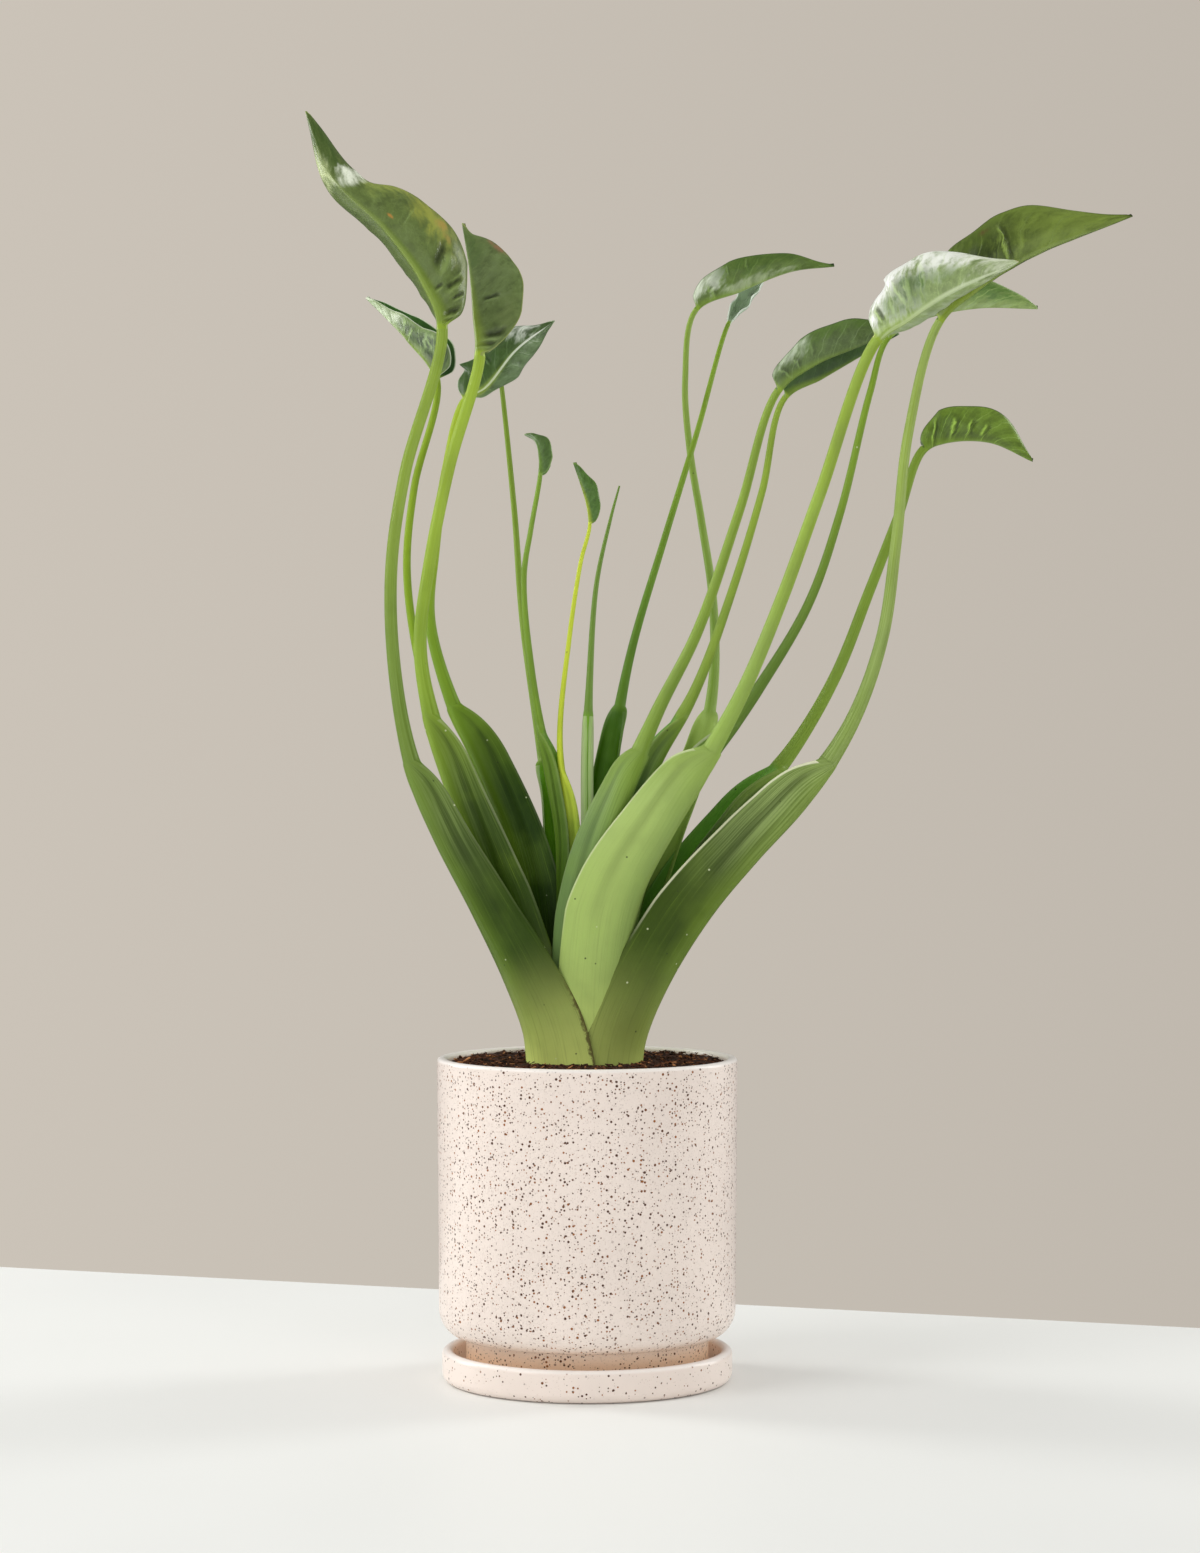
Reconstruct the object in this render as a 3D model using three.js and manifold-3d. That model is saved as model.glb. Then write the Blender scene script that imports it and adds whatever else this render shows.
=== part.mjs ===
// A potted aroid house plant: sixteen long-stalked leaves rise from one crown, each with a clasping
// sheath, a long round stalk and a thick cupped blade. The pot stands on a saucer.
// Millimetres, +Z up. The origin is on the saucer's flat underside, on the pot's axis.
import * as THREE from 'three';
import { mergeVertices } from 'three/addons/utils/BufferGeometryUtils.js';
import Module from 'manifold-3d';

const wasm = await Module();
wasm.setup();

// Pot and saucer
const POT_RADIUS = 65;
const POT_BOTTOM_RADIUS = 64.2;
const POT_HEIGHT = 139.7;
const POT_WALL = 4.4;
const POT_CORNER_HEIGHT = 12;
const POT_FOOT_RADIUS = 52.5;
const POT_FLOOR = 7;
const DRAIN_RADIUS = 7;
const POT_UNDERSIDE = 19.5;
const UNDERSIDE_THICKNESS = 2;
const FOOT_WALL = 6;
const INSIDE_BEVEL = 3;
const FOOT_FILLET = 0.8;
const LIP_RADIUS = 1.8;
const SAUCER_RADIUS = 62.8;
const SAUCER_HEIGHT = 14;
const SAUCER_WALL = 5;
const SAUCER_FLOOR = 4.8;
const SAUCER_CORNER = 4;
const SAUCER_FILLET = 1;
const ROUND_SIDES = 36;
const SEAT_GAP = 0.3;
const FOOT_BOTTOM = SAUCER_FLOOR + SEAT_GAP;
const POT_INSIDE_FLOOR = FOOT_BOTTOM + POT_FLOOR;
const POT_INSIDE_STEP = POT_UNDERSIDE + UNDERSIDE_THICKNESS;
const POT_INSIDE_RADIUS = POT_RADIUS - POT_WALL;
const FOOT_INSIDE_RADIUS = POT_FOOT_RADIUS - FOOT_WALL;
const INSIDE_CORNER_TOP = POT_UNDERSIDE + POT_CORNER_HEIGHT;

// Potting mix and the hole that the crown stands in
const SOIL_TOP = 137;
const SOIL_EDGE_DROP = 1.4;
const SOIL_CROWN_DROP = 0.4;
const SOIL_LUMP = 0.8;
const CROWN_X = -2;
const CROWN_HOLE_RADIUS = 27.5;
const CROWN_HOLE_FLOOR = 128.6;

// Sheaths, stalks and blades
const RING_SIDES = 10;
const SHEATH_STEPS = [0, 0.14, 0.28, 0.42, 0.56, 0.7, 0.82, 0.89, 0.94, 0.975];
const STALK_STEPS = 7;
const STALK_FLARE = 0.3;
const STALK_FLARE_FALL = 9;
const KEEL_BASE_THICKNESS = 3.6;
const WING_THICKNESS = 1.3;
const WING_TAPER_ARC_LOW = 12;
const WING_TAPER_ARC_HIGH = 5.5;
const WING_TAPER_START = 0.3;
const WING_TOP_TURN = 1.5;
const WING_MOST_TURN = 1.4;
const WING_FOLD_ARC_LOW = 60;
const WING_FOLD_ARC_HIGH = 4.5;
const WING_FOLD_STEPS = 24;
const SHOULDER_START = 0.84;
const SHOULDER_ROUNDING = 2.2;
const SHOULDER_FALL = 0.7;
const LEAF_GAP = 0.35;
const BLADE_STEPS = 10;
const BLADE_COLUMNS = [-1, -0.62, -0.28, 0, 0.28, 0.62, 1];
const BLADE_ROW_CROWDING = 1.15;
const BLADE_BASE_ARC = 1.5;
const BLADE_TIP_ARC = 0.5;
const TWIST_START = 0.45;
const TWIST_END = 0.8;
const BLADE_THICKNESS = 0.9;
const MIDRIB_DEPTH = 1.1;
const MIDRIB_TAPER = 0.7;
const MARGIN_WAVE = 0.8;
const MARGIN_WAVE_TURNS = 17;

// One entry for each leaf, oldest and outermost first.
// stalk: the middle of the keel and stalk, from its foot in the soil hole to the blade.
// keel: compass bearing of the keel's back round the crown, in degrees from +X.
// wings: arc from keel to wing edge at the foot, half way up and under the shoulder.
// shoulder: height where the wings end. radius: of the stalk above the shoulder and at the blade.
// blade: midrib from stalk to tip, open: the way the cup opens, tipOpen: the same near the tip
// where the blade twists, rise: slope of the halves at the midrib and the margin, in degrees,
// near and far: share of the midrib and the arc from midrib to margin there, for the two halves.
const LEAVES = [
  {
    number: '01', keel: 213, wings: [31, 18, 9], shoulder: 268, radius: [2.8, 2.4],
    stalk: [[-22, -13, 129], [-24, -15, 150], [-33, -17, 175], [-47, -19, 205], [-62, -21, 235],
      [-75, -23, 268], [-82, -27, 308], [-83, -31, 350], [-77, -34, 390], [-61, -40, 449]],
    blade: { midrib: [[-61, -40, 450], [-68, -42, 469], [-84, -42, 491], [-108, -38, 515],
      [-119, -32, 543]],
      open: [0.41, 0.87, 0.29], tipOpen: [0.22, 0.97, 0.13], rise: [25, 100],
      near: [[0.05, 11.5], [0.12, 17.5], [0.25, 25], [0.38, 30], [0.5, 26.5], [0.6, 22], [0.66, 16],
        [0.75, 16], [0.9, 8]],
      far: [[0.05, 12], [0.12, 18], [0.25, 25], [0.38, 28], [0.5, 26], [0.6, 22], [0.75, 14], [0.9, 4.5]] },
  },
  {
    number: '15', keel: -20, wings: [31, 26.5, 13.5], shoulder: 268, radius: [3.1, 1.8],
    stalk: [[21, -6, 129], [23, -7, 147], [34, -10, 174], [52, -13, 204], [71, -15, 228], [92, -16, 252],
      [113, -18, 284], [126, -19, 320], [132, -21, 362], [137, -23, 408], [150, -25, 454]],
    blade: { midrib: [[150, -25, 455], [165, -26, 468], [189, -26, 483], [233, -18, 501]],
      open: [-0.37, 0.7, 0.6], rise: [35, 95],
      near: [[0.06, 8], [0.15, 13], [0.33, 20], [0.5, 23], [0.65, 22], [0.8, 15], [0.93, 5]],
      far: [[0.06, 9], [0.15, 14], [0.33, 22], [0.5, 24.5], [0.6, 25.5], [0.67, 24.5], [0.75, 22],
        [0.85, 13], [0.93, 5.5]] },
  },
  {
    number: '02', keel: 205, wings: [25, 20, 9], shoulder: 288, radius: [2.9, 2.4],
    stalk: [[-23, -5, 129], [-25, -5, 150], [-34, -4, 187], [-46, -3, 223], [-58, -3, 257],
      [-68, -5, 290], [-72, -7, 318], [-68, -9, 352], [-59, -12, 395], [-46, -15, 440]],
    blade: { midrib: [[-46, -15, 441], [-48, -6, 460], [-51, 10, 482], [-55, 32, 505]],
      open: [0.9, 0.35, -0.1], rise: [45, 90],
      near: [[0.05, 5.5], [0.12, 11.5], [0.22, 17.5], [0.33, 20.5], [0.5, 22.5], [0.6, 21.5], [0.67, 20],
        [0.75, 17.5], [0.83, 13], [0.87, 9], [0.91, 3.5]],
      far: [[0.05, 5], [0.12, 10], [0.22, 15], [0.33, 18], [0.5, 20], [0.6, 19], [0.75, 15], [0.85, 8],
        [0.92, 3.5]] },
  },
  {
    number: '13', keel: -45, wings: [26, 29, 15], shoulder: 273, radius: [3.1, 2.3],
    stalk: [[12, -14, 129], [12, -15, 150], [14, -19, 181], [20, -24, 212], [33, -29, 238],
      [49, -35, 266], [66, -44, 298], [82, -52, 337], [97, -58, 379], [120, -70, 441]],
    blade: { midrib: [[120, -70, 442], [132, -74, 450], [150, -76, 461], [178, -72, 474]],
      open: [-0.25, 0.87, 0.43], rise: [25, 105],
      near: [[0.06, 9], [0.15, 15], [0.33, 23], [0.5, 26], [0.67, 24], [0.8, 17], [0.9, 8]],
      far: [[0.05, 11.5], [0.15, 19.5], [0.33, 25.5], [0.5, 28.5], [0.67, 26.5], [0.8, 19], [0.9, 9],
        [0.96, 3.8]] },
  },
  {
    number: '16', keel: 18, wings: [20, 18, 9], shoulder: 266, radius: [2.8, 1.9],
    stalk: [[18, 7, 129], [20, 7, 150], [29, 8, 185], [45, 11, 217], [65, 15, 243], [90, 20, 273],
      [109, 25, 305], [124, 29, 342], [137, 33, 375], [149, 40, 405]],
    blade: { midrib: [[149, 40, 406], [159, 42, 410], [179, 46, 410], [199, 52, 402]],
      open: [0, 0.45, 0.9], rise: [50, 95],
      near: [[0.08, 6], [0.2, 11], [0.35, 14.5], [0.5, 15.5], [0.65, 14], [0.8, 9.5], [0.92, 4]],
      far: [[0.08, 6], [0.2, 10.5], [0.35, 14.5], [0.5, 16], [0.65, 15.5], [0.8, 11], [0.92, 4.5]] },
  },
  {
    number: '03', keel: 168, wings: [12, 10, 6], shoulder: 270, radius: [2.0, 1.5],
    stalk: [[-18, 12, 129], [-20, 13, 150], [-30, 16, 190], [-48, 20, 240], [-64, 25, 278],
      [-74, 30, 310], [-80, 36, 352], [-77, 40, 389], [-67, 45, 436]],
    blade: { midrib: [[-67, 45, 437], [-80, 55, 456], [-90, 68, 467], [-101, 85, 479]],
      open: [0.6, 0.3, 0.6], rise: [45, 90],
      near: [[0.05, 8], [0.12, 11.5], [0.2, 12], [0.33, 9], [0.5, 7], [0.67, 5], [0.8, 3.4], [0.9, 2]],
      far: [[0.05, 10], [0.12, 15], [0.2, 18.5], [0.33, 18], [0.5, 14.5], [0.67, 12], [0.8, 8], [0.9, 5]] },
  },
  {
    number: '09', keel: 72, wings: [15, 15, 8], shoulder: 290, radius: [2.1, 1.2],
    stalk: [[5, 22, 129], [7, 23, 150], [17, 24, 190], [35, 26, 236], [49, 34, 268], [56, 44, 303],
      [56, 53, 340], [51, 60, 376], [46, 65, 408], [44, 69, 440], [49, 72, 471]],
    blade: { midrib: [[49, 72, 472], [69, 74, 481], [92, 76, 490], [112, 80, 493]],
      open: [-0.1, 0.45, 0.9], rise: [45, 95],
      near: [[0.05, 5.5], [0.15, 10], [0.33, 12.5], [0.5, 11.5], [0.67, 8], [0.8, 4.6], [0.9, 2.4]],
      far: [[0.05, 6], [0.15, 11.5], [0.33, 14.2], [0.5, 13.2], [0.67, 8.5], [0.8, 5], [0.9, 2.4]] },
  },
  {
    number: '11', keel: -60, wings: [19, 18, 10], shoulder: 272, radius: [2.9, 1.6],
    stalk: [[5, -15, 129], [3, -16, 155], [2, -17, 190], [6, -18, 226], [16, -21, 256], [30, -23, 289],
      [47, -24, 323], [65, -27, 375], [81, -30, 424]],
    blade: { midrib: [[81, -30, 425], [96, -33, 436], [116, -34, 444], [136, -32, 453]],
      open: [-0.2, 0.45, 0.85], rise: [45, 95],
      near: [[0.05, 6], [0.15, 8.5], [0.33, 11], [0.5, 12.5], [0.67, 11], [0.85, 5.5]],
      far: [[0.05, 6.6], [0.15, 9.3], [0.33, 12.2], [0.5, 13.8], [0.67, 12.4], [0.85, 6.2]] },
  },
  {
    number: '04', keel: 212, wings: [13, 19, 11], shoulder: 292, radius: [2.5, 1.8],
    stalk: [[-18, 6, 129], [-19, 7, 150], [-24, 9, 190], [-32, 11, 229], [-46, 14, 266], [-60, 16, 296],
      [-69, 19, 330], [-67, 21, 360], [-62, 23, 396], [-54, 25, 425]],
    blade: { midrib: [[-54, 25, 426], [-45, 26, 432], [-32, 32, 449], [-15, 48, 464]],
      open: [-0.35, 0.9, 0.05], rise: [20, 60],
      near: [[0.15, 2], [0.33, 5.5], [0.5, 11], [0.67, 14.5], [0.8, 12.5], [0.88, 8.5], [0.94, 3]],
      far: [[0.1, 11], [0.33, 17], [0.5, 14.2], [0.67, 10.5], [0.8, 9.7], [0.9, 3.9]] },
  },
  {
    number: '14', keel: -5, wings: [18, 17, 10], shoulder: 284, radius: [2.4, 1.2],
    stalk: [[15, -1, 129], [16, -2, 150], [19, -3, 190], [28, -3, 226], [50, -1, 265], [74, 2, 299],
      [96, 5, 336], [110, 7, 376], [123, 10, 428], [131, 10, 451]],
    blade: { midrib: [[131, 10, 452], [147, 12, 461], [170, 16, 466], [198, 26, 467]],
      open: [-0.1, 0.12, 0.95], rise: [40, 90],
      near: [[0.1, 5], [0.33, 8], [0.6, 7.5], [0.8, 5], [0.92, 2.4]],
      far: [[0.1, 8], [0.33, 15], [0.5, 14.5], [0.7, 12.5], [0.8, 9.5], [0.92, 5]] },
  },
  {
    number: '05', keel: 110, wings: [13, 12, 8], shoulder: 268, radius: [1.9, 1.05],
    stalk: [[-8, 15, 129], [-8, 16, 155], [-11, 19, 200], [-16, 25, 246], [-22, 34, 283], [-29, 48, 331],
      [-33, 60, 380], [-39, 70, 436]],
    blade: { midrib: [[-39, 70, 437], [-41, 86, 448], [-43, 108, 456], [-46, 135, 460]],
      open: [0, 0.1, 1], rise: [35, 85],
      near: [[0.1, 7], [0.3, 11.5], [0.5, 11.5], [0.75, 7], [0.92, 2.4]],
      far: [[0.1, 7], [0.3, 11.5], [0.5, 11.5], [0.75, 7], [0.92, 2.4]] },
  },
  {
    number: '12', keel: 5, wings: [14, 14, 8], shoulder: 288, radius: [2.2, 1.3],
    stalk: [[11, 1, 129], [12, 1, 150], [13, 0, 200], [18, -1, 238], [30, 1, 268], [47, 3, 299],
      [63, 6, 342], [76, 8, 385], [86, 10, 425]],
    blade: { midrib: [[86, 10, 426], [102, 12, 435], [119, 18, 445], [137, 28, 456]],
      open: [-0.2, 0.4, 0.9], rise: [40, 90],
      near: [[0.1, 7], [0.3, 12.5], [0.5, 12.5], [0.75, 8], [0.92, 3]],
      far: [[0.1, 7], [0.3, 12.5], [0.5, 12.5], [0.75, 8], [0.92, 3]] },
  },
  {
    number: '10', keel: 70, wings: [12, 12, 7], shoulder: 292, radius: [1.9, 1.0],
    stalk: [[2, 11, 129], [2, 11, 160], [4, 12, 200], [7, 14, 238], [11, 19, 272], [19, 30, 315],
      [34, 42, 366], [49, 58, 415], [64, 86, 466]],
    blade: { midrib: [[64, 86, 467], [69, 95, 474], [75, 102, 482], [81, 108, 489]],
      open: [0.35, -0.25, 0.85], rise: [30, 85],
      near: [[0.1, 4], [0.3, 6.5], [0.5, 7], [0.7, 5.5], [0.9, 2.4]],
      far: [[0.1, 4], [0.3, 6.5], [0.5, 7], [0.7, 5.5], [0.9, 2.4]] },
  },
  {
    number: '06', keel: 165, wings: [12, 11, 7], shoulder: 282, radius: [1.5, 1.0],
    stalk: [[-13, 3, 129], [-13, 4, 160], [-12, 5, 200], [-12, 6, 235], [-17, 10, 264], [-24, 17, 304],
      [-28, 25, 348], [-25, 30, 370], [-21, 35, 393]],
    blade: { midrib: [[-21, 35, 394], [-21, 40, 402], [-23, 46, 410], [-28, 54, 414]],
      open: [0.8, 0.4, 0.3], rise: [40, 90],
      near: [[0.12, 4], [0.35, 6], [0.6, 5.4], [0.85, 2.4]],
      far: [[0.12, 4], [0.35, 6], [0.6, 5.4], [0.85, 2.4]] },
  },
  {
    number: '07', keel: 200, wings: [8, 8, 5], shoulder: 264, radius: [1.2, 0.8],
    stalk: [[-9, -2, 129], [-8, -2, 160], [-7, 0, 200], [-8, 3, 236], [-12, 9, 277], [-8, 17, 321],
      [-3, 25, 355], [1, 30, 371]],
    blade: { midrib: [[1, 30, 372], [0, 32, 381], [-3, 35, 391], [-6, 38, 400]],
      open: [0.9, 0.4, 0.1], rise: [40, 90],
      near: [[0.12, 4], [0.4, 6.4], [0.65, 5.6], [0.88, 2.4]],
      far: [[0.12, 4], [0.4, 6.4], [0.65, 5.6], [0.88, 2.4]] },
  },
  {
    number: '08', keel: 90, wings: [3, 3, 2.5], shoulder: 290, radius: [1.5, 0.4],
    stalk: [[-2, 2, 129], [-1, 2, 170], [0, 1, 230], [0, 3, 270], [1, 6, 303], [4, 10, 345],
      [10, 13, 373], [14, 15, 388]],
    blade: null,
  },
];

const mix = THREE.MathUtils.lerp;
const smooth = THREE.MathUtils.smoothstep;

// A closed solid from its corner points and its triangles, as a geometry with merged corners.
function geometryFrom(points, triangles) {
  const geometry = new THREE.BufferGeometry();
  geometry.setAttribute('position', new THREE.Float32BufferAttribute(points.flat(), 3));
  geometry.setIndex(triangles.flat());
  return geometry;
}

function solidFrom(geometry) {
  const merged = geometry.clone();
  merged.deleteAttribute('normal');
  merged.deleteAttribute('uv');
  const welded = mergeVertices(merged, 1e-4);
  return new wasm.Manifold(new wasm.Mesh({
    numProp: 3,
    vertProperties: Float32Array.from(welded.attributes.position.array),
    triVerts: Uint32Array.from(welded.index.array),
  }));
}

function geometryOf(solid) {
  const mesh = solid.getMesh();
  const geometry = new THREE.BufferGeometry();
  geometry.setAttribute('position', new THREE.BufferAttribute(mesh.vertProperties, 3));
  geometry.setIndex(new THREE.BufferAttribute(mesh.triVerts, 1));
  return geometry;
}

// Joins rings of equal count into one closed solid. A ring's first half runs along its outer
// side and its second half comes back along the inner side, so each end closes like a ladder.
function solidOfRings(rings) {
  const count = rings[0].length;
  const points = rings.flat();
  const triangles = [];
  for (let ring = 0; ring < rings.length - 1; ring += 1) {
    for (let side = 0; side < count; side += 1) {
      const next = (side + 1) % count;
      const low = ring * count;
      const high = low + count;
      triangles.push([low + side, low + next, high + next]);
      triangles.push([low + side, high + next, high + side]);
    }
  }
  const last = (rings.length - 1) * count;
  for (let side = 0; side < count / 2 - 1; side += 1) {
    const back = count - 1 - side;
    triangles.push([side, back, side + 1], [side + 1, back, back - 1]);
    triangles.push([last + side, last + side + 1, last + back]);
    triangles.push([last + side + 1, last + back - 1, last + back]);
  }
  return geometryFrom(points, triangles);
}

function curveThrough(points) {
  const corners = points.map((point) => new THREE.Vector3(...point));
  return new THREE.CatmullRomCurve3(corners, false, 'centripetal');
}

// The place along a rising curve where it reaches a height.
function placeAtHeight(curve, height) {
  let low = 0;
  let high = 1;
  for (let step = 0; step < 30; step += 1) {
    const middle = (low + high) / 2;
    if (curve.getPoint(middle).z < height) {
      low = middle;
    } else {
      high = middle;
    }
  }
  return (low + high) / 2;
}

// Arc from keel to wing edge at a share of the way up the sheath, without the rounded shoulder.
function wingArc(leaf, share) {
  const [foot, middle, top] = leaf.wings;
  return share < 0.5 ? mix(foot, middle, share * 2) : mix(middle, top, share * 2 - 1);
}

// Sideways reach, depth and slope at an arc along a wing, which bends most beside the keel.
function foldedWing(arc, run, turn, fold) {
  const ease = arc / fold;
  const whole = 1 - Math.exp(-ease);
  let lateral = 0;
  let depth = 0;
  for (let step = 0; step < WING_FOLD_STEPS; step += 1) {
    const spot = ((step + 0.5) / WING_FOLD_STEPS) * (run / arc);
    const bend = (turn * (1 - Math.exp(-ease * spot))) / whole;
    lateral += (Math.cos(bend) * run) / WING_FOLD_STEPS;
    depth += (Math.sin(bend) * run) / WING_FOLD_STEPS;
  }
  return [lateral, depth, (turn * (1 - Math.exp((-ease * run) / arc))) / whole];
}

// One section across a leaf's sheath or stalk: a thick keel with a thin wing at each side,
// which is a plain round stalk where the wings have no width.
function stalkSection(leaf, curve, place, share, extra) {
  const centre = curve.getPoint(place);
  const along = new THREE.Vector3(0, 0, 1).lerp(curve.getTangent(place), smooth(share, 0, 0.2)).normalize();
  const bearing = THREE.MathUtils.degToRad(leaf.keel);
  const inward = new THREE.Vector3(-Math.cos(bearing), -Math.sin(bearing), 0);
  inward.addScaledVector(along, -inward.dot(along)).normalize();
  const sideways = new THREE.Vector3().crossVectors(along, inward);
  const climb = Math.min(share, 1);
  const above = Math.max(share - 1, 0);
  const flare = 1 + STALK_FLARE * Math.exp(-STALK_FLARE_FALL * above);
  const stalkRadius = mix(leaf.radius[0], leaf.radius[1], above) * flare;
  const keelHalf = mix(KEEL_BASE_THICKNESS / 2, stalkRadius, smooth(climb, 0.2, 1)) + extra;
  const rounding = Math.max(climb - SHOULDER_START, 0) / (1 - SHOULDER_START);
  const winged = climb < 1 ? (1 - rounding ** SHOULDER_ROUNDING) ** SHOULDER_FALL : 0;
  const arc = mix(stalkRadius, wingArc(leaf, climb), winged) + extra;
  const [footX, footY] = leaf.stalk[0];
  const footReach = Math.hypot(footX - CROWN_X, footY);
  const footTurn = Math.min(leaf.wings[0] / footReach, WING_MOST_TURN);
  const turn = mix(footTurn, WING_TOP_TURN, climb) * winged;
  const fold = mix(WING_FOLD_ARC_LOW, WING_FOLD_ARC_HIGH, smooth(climb, 0.2, 0.95));
  const wingHalf = WING_THICKNESS / 2 + extra;
  const taperStart = WING_TAPER_START * stalkRadius;
  const taperEnd = mix(WING_TAPER_ARC_LOW, WING_TAPER_ARC_HIGH, smooth(climb, 0.3, 1));
  const ring = [];
  for (let side = 0; side < RING_SIDES; side += 1) {
    const angle = ((side + 0.5) / RING_SIDES) * 2 * Math.PI;
    const across = Math.cos(angle);
    const reach = Math.abs(across);
    const [lateral, depth, bend] = foldedWing(arc, arc * reach, turn, fold);
    const round = keelHalf * Math.sin(angle);
    const taper = mix(keelHalf, wingHalf, smooth(reach * arc, taperStart, taperEnd));
    const flat = Math.sign(Math.sin(angle)) * taper * Math.sqrt(Math.abs(Math.sin(angle)));
    const offset = mix(round, flat, winged);
    const sign = Math.sign(across);
    const point = centre.clone();
    point.addScaledVector(sideways, sign * (lateral + offset * Math.sin(bend)));
    point.addScaledVector(inward, depth - offset * Math.cos(bend));
    ring.push([point.x, point.y, point.z]);
  }
  return ring;
}

// Sheath and stalk in one sweep. extra thickens it all round, for cutting a neighbour clear.
function stalkGeometry(leaf, extra = 0) {
  const curve = curveThrough(leaf.stalk);
  const foot = leaf.stalk[0][2];
  const shoulderPlace = placeAtHeight(curve, leaf.shoulder);
  const rings = [];
  for (const share of SHEATH_STEPS) {
    const place = placeAtHeight(curve, mix(foot, leaf.shoulder, share));
    rings.push(stalkSection(leaf, curve, place, share, extra));
  }
  for (let step = 0; step <= STALK_STEPS; step += 1) {
    const share = step / STALK_STEPS;
    rings.push(stalkSection(leaf, curve, mix(shoulderPlace, 1, share), 1 + share, extra));
  }
  return solidOfRings(rings);
}

// Arc from midrib to margin at a share of the way to the tip: a smooth line through the measures.
function bladeArc(measures, share) {
  const rows = [[0, BLADE_BASE_ARC], ...measures, [1, BLADE_TIP_ARC]];
  const last = rows.length - 1;
  const index = Math.min(rows.findLastIndex((row) => row[0] <= share), last - 1);
  const [slopeLow, slopeHigh] = [index, index + 1].map((number) => {
    const before = rows[Math.max(number - 1, 0)];
    const after = rows[Math.min(number + 1, last)];
    return (after[1] - before[1]) / (after[0] - before[0]);
  });
  const [[start, low], [end, high]] = [rows[index], rows[index + 1]];
  const run = end - start;
  const weight = (share - start) / run;
  const square = weight ** 2;
  const cube = weight ** 3;
  const level = low * (2 * cube - 3 * square + 1) + high * (3 * square - 2 * cube);
  const swing = slopeLow * (cube - 2 * square + weight) + slopeHigh * (cube - square);
  return Math.max(level + run * swing, BLADE_TIP_ARC);
}

// One row of points across a cupped blade, from margin to margin.
function bladeRow(blade, curve, share) {
  const centre = curve.getPoint(share);
  const along = curve.getTangent(share);
  const open = new THREE.Vector3(...blade.open);
  open.lerp(new THREE.Vector3(...(blade.tipOpen ?? blade.open)), smooth(share, TWIST_START, TWIST_END));
  open.addScaledVector(along, -open.dot(along)).normalize();
  const sideways = new THREE.Vector3().crossVectors(along, open);
  const [rootRise, edgeRise] = blade.rise.map(THREE.MathUtils.degToRad);
  return BLADE_COLUMNS.map((column) => {
    const reach = Math.abs(column);
    const arc = bladeArc(column < 0 ? blade.near : blade.far, share);
    const edge = mix(rootRise, edgeRise, reach);
    const spread = edgeRise - rootRise;
    const lateral = (arc * (Math.sin(edge) - Math.sin(rootRise))) / spread;
    const lift = (arc * (Math.cos(rootRise) - Math.cos(edge))) / spread;
    const swell = MARGIN_WAVE * reach ** 2 * Math.sin(share * Math.PI);
    const wave = swell * Math.sin(share * MARGIN_WAVE_TURNS + column * 2);
    const point = centre.clone();
    point.addScaledVector(sideways, Math.sign(column) * (lateral + wave));
    point.addScaledVector(open, lift);
    return point;
  });
}

function bladeGeometry(blade) {
  const curve = curveThrough(blade.midrib);
  const rows = [];
  for (let step = 0; step <= BLADE_STEPS; step += 1) {
    rows.push(bladeRow(blade, curve, (step / BLADE_STEPS) ** BLADE_ROW_CROWDING));
  }
  const columns = BLADE_COLUMNS.length;
  const upper = [];
  const lower = [];
  rows.forEach((row, rowIndex) => {
    row.forEach((point, column) => {
      const ahead = rows[Math.min(rowIndex + 1, BLADE_STEPS)][column].clone();
      ahead.sub(rows[Math.max(rowIndex - 1, 0)][column]);
      const across = row[Math.min(column + 1, columns - 1)].clone();
      across.sub(row[Math.max(column - 1, 0)]);
      const facing = new THREE.Vector3().crossVectors(ahead, across).normalize();
      const ribHere = MIDRIB_DEPTH * (1 - MIDRIB_TAPER * (rowIndex / BLADE_STEPS));
      const rib = BLADE_COLUMNS[column] === 0 ? ribHere : 0;
      const above = point.clone().addScaledVector(facing, BLADE_THICKNESS / 2);
      const below = point.clone().addScaledVector(facing, -BLADE_THICKNESS / 2 - rib);
      upper.push([above.x, above.y, above.z]);
      lower.push([below.x, below.y, below.z]);
    });
  });
  const offset = upper.length;
  const triangles = [];
  for (let row = 0; row < BLADE_STEPS; row += 1) {
    for (let column = 0; column < columns - 1; column += 1) {
      const corner = row * columns + column;
      const right = corner + 1;
      const ahead = corner + columns;
      triangles.push([corner, ahead, right], [right, ahead, ahead + 1]);
      triangles.push([offset + corner, offset + right, offset + ahead]);
      triangles.push([offset + right, offset + ahead + 1, offset + ahead]);
    }
  }
  const border = [];
  for (let column = 0; column < columns - 1; column += 1) {
    border.push([column, column + 1]);
    const last = BLADE_STEPS * columns;
    border.push([last + column + 1, last + column]);
  }
  for (let row = 0; row < BLADE_STEPS; row += 1) {
    border.push([(row + 1) * columns, row * columns]);
    border.push([row * columns + columns - 1, (row + 1) * columns + columns - 1]);
  }
  for (const [from, to] of border) {
    triangles.push([from, to, offset + to], [from, offset + to, offset + from]);
  }
  return geometryFrom([...upper, ...lower], triangles);
}

// A turned piece, from a profile of [radius, height] points that ends on the axis or closes.
function turned(profile) {
  const points = profile.map(([radius, height]) => new THREE.Vector2(radius, height));
  return new THREE.LatheGeometry(points, ROUND_SIDES).rotateX(Math.PI / 2);
}

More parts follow.
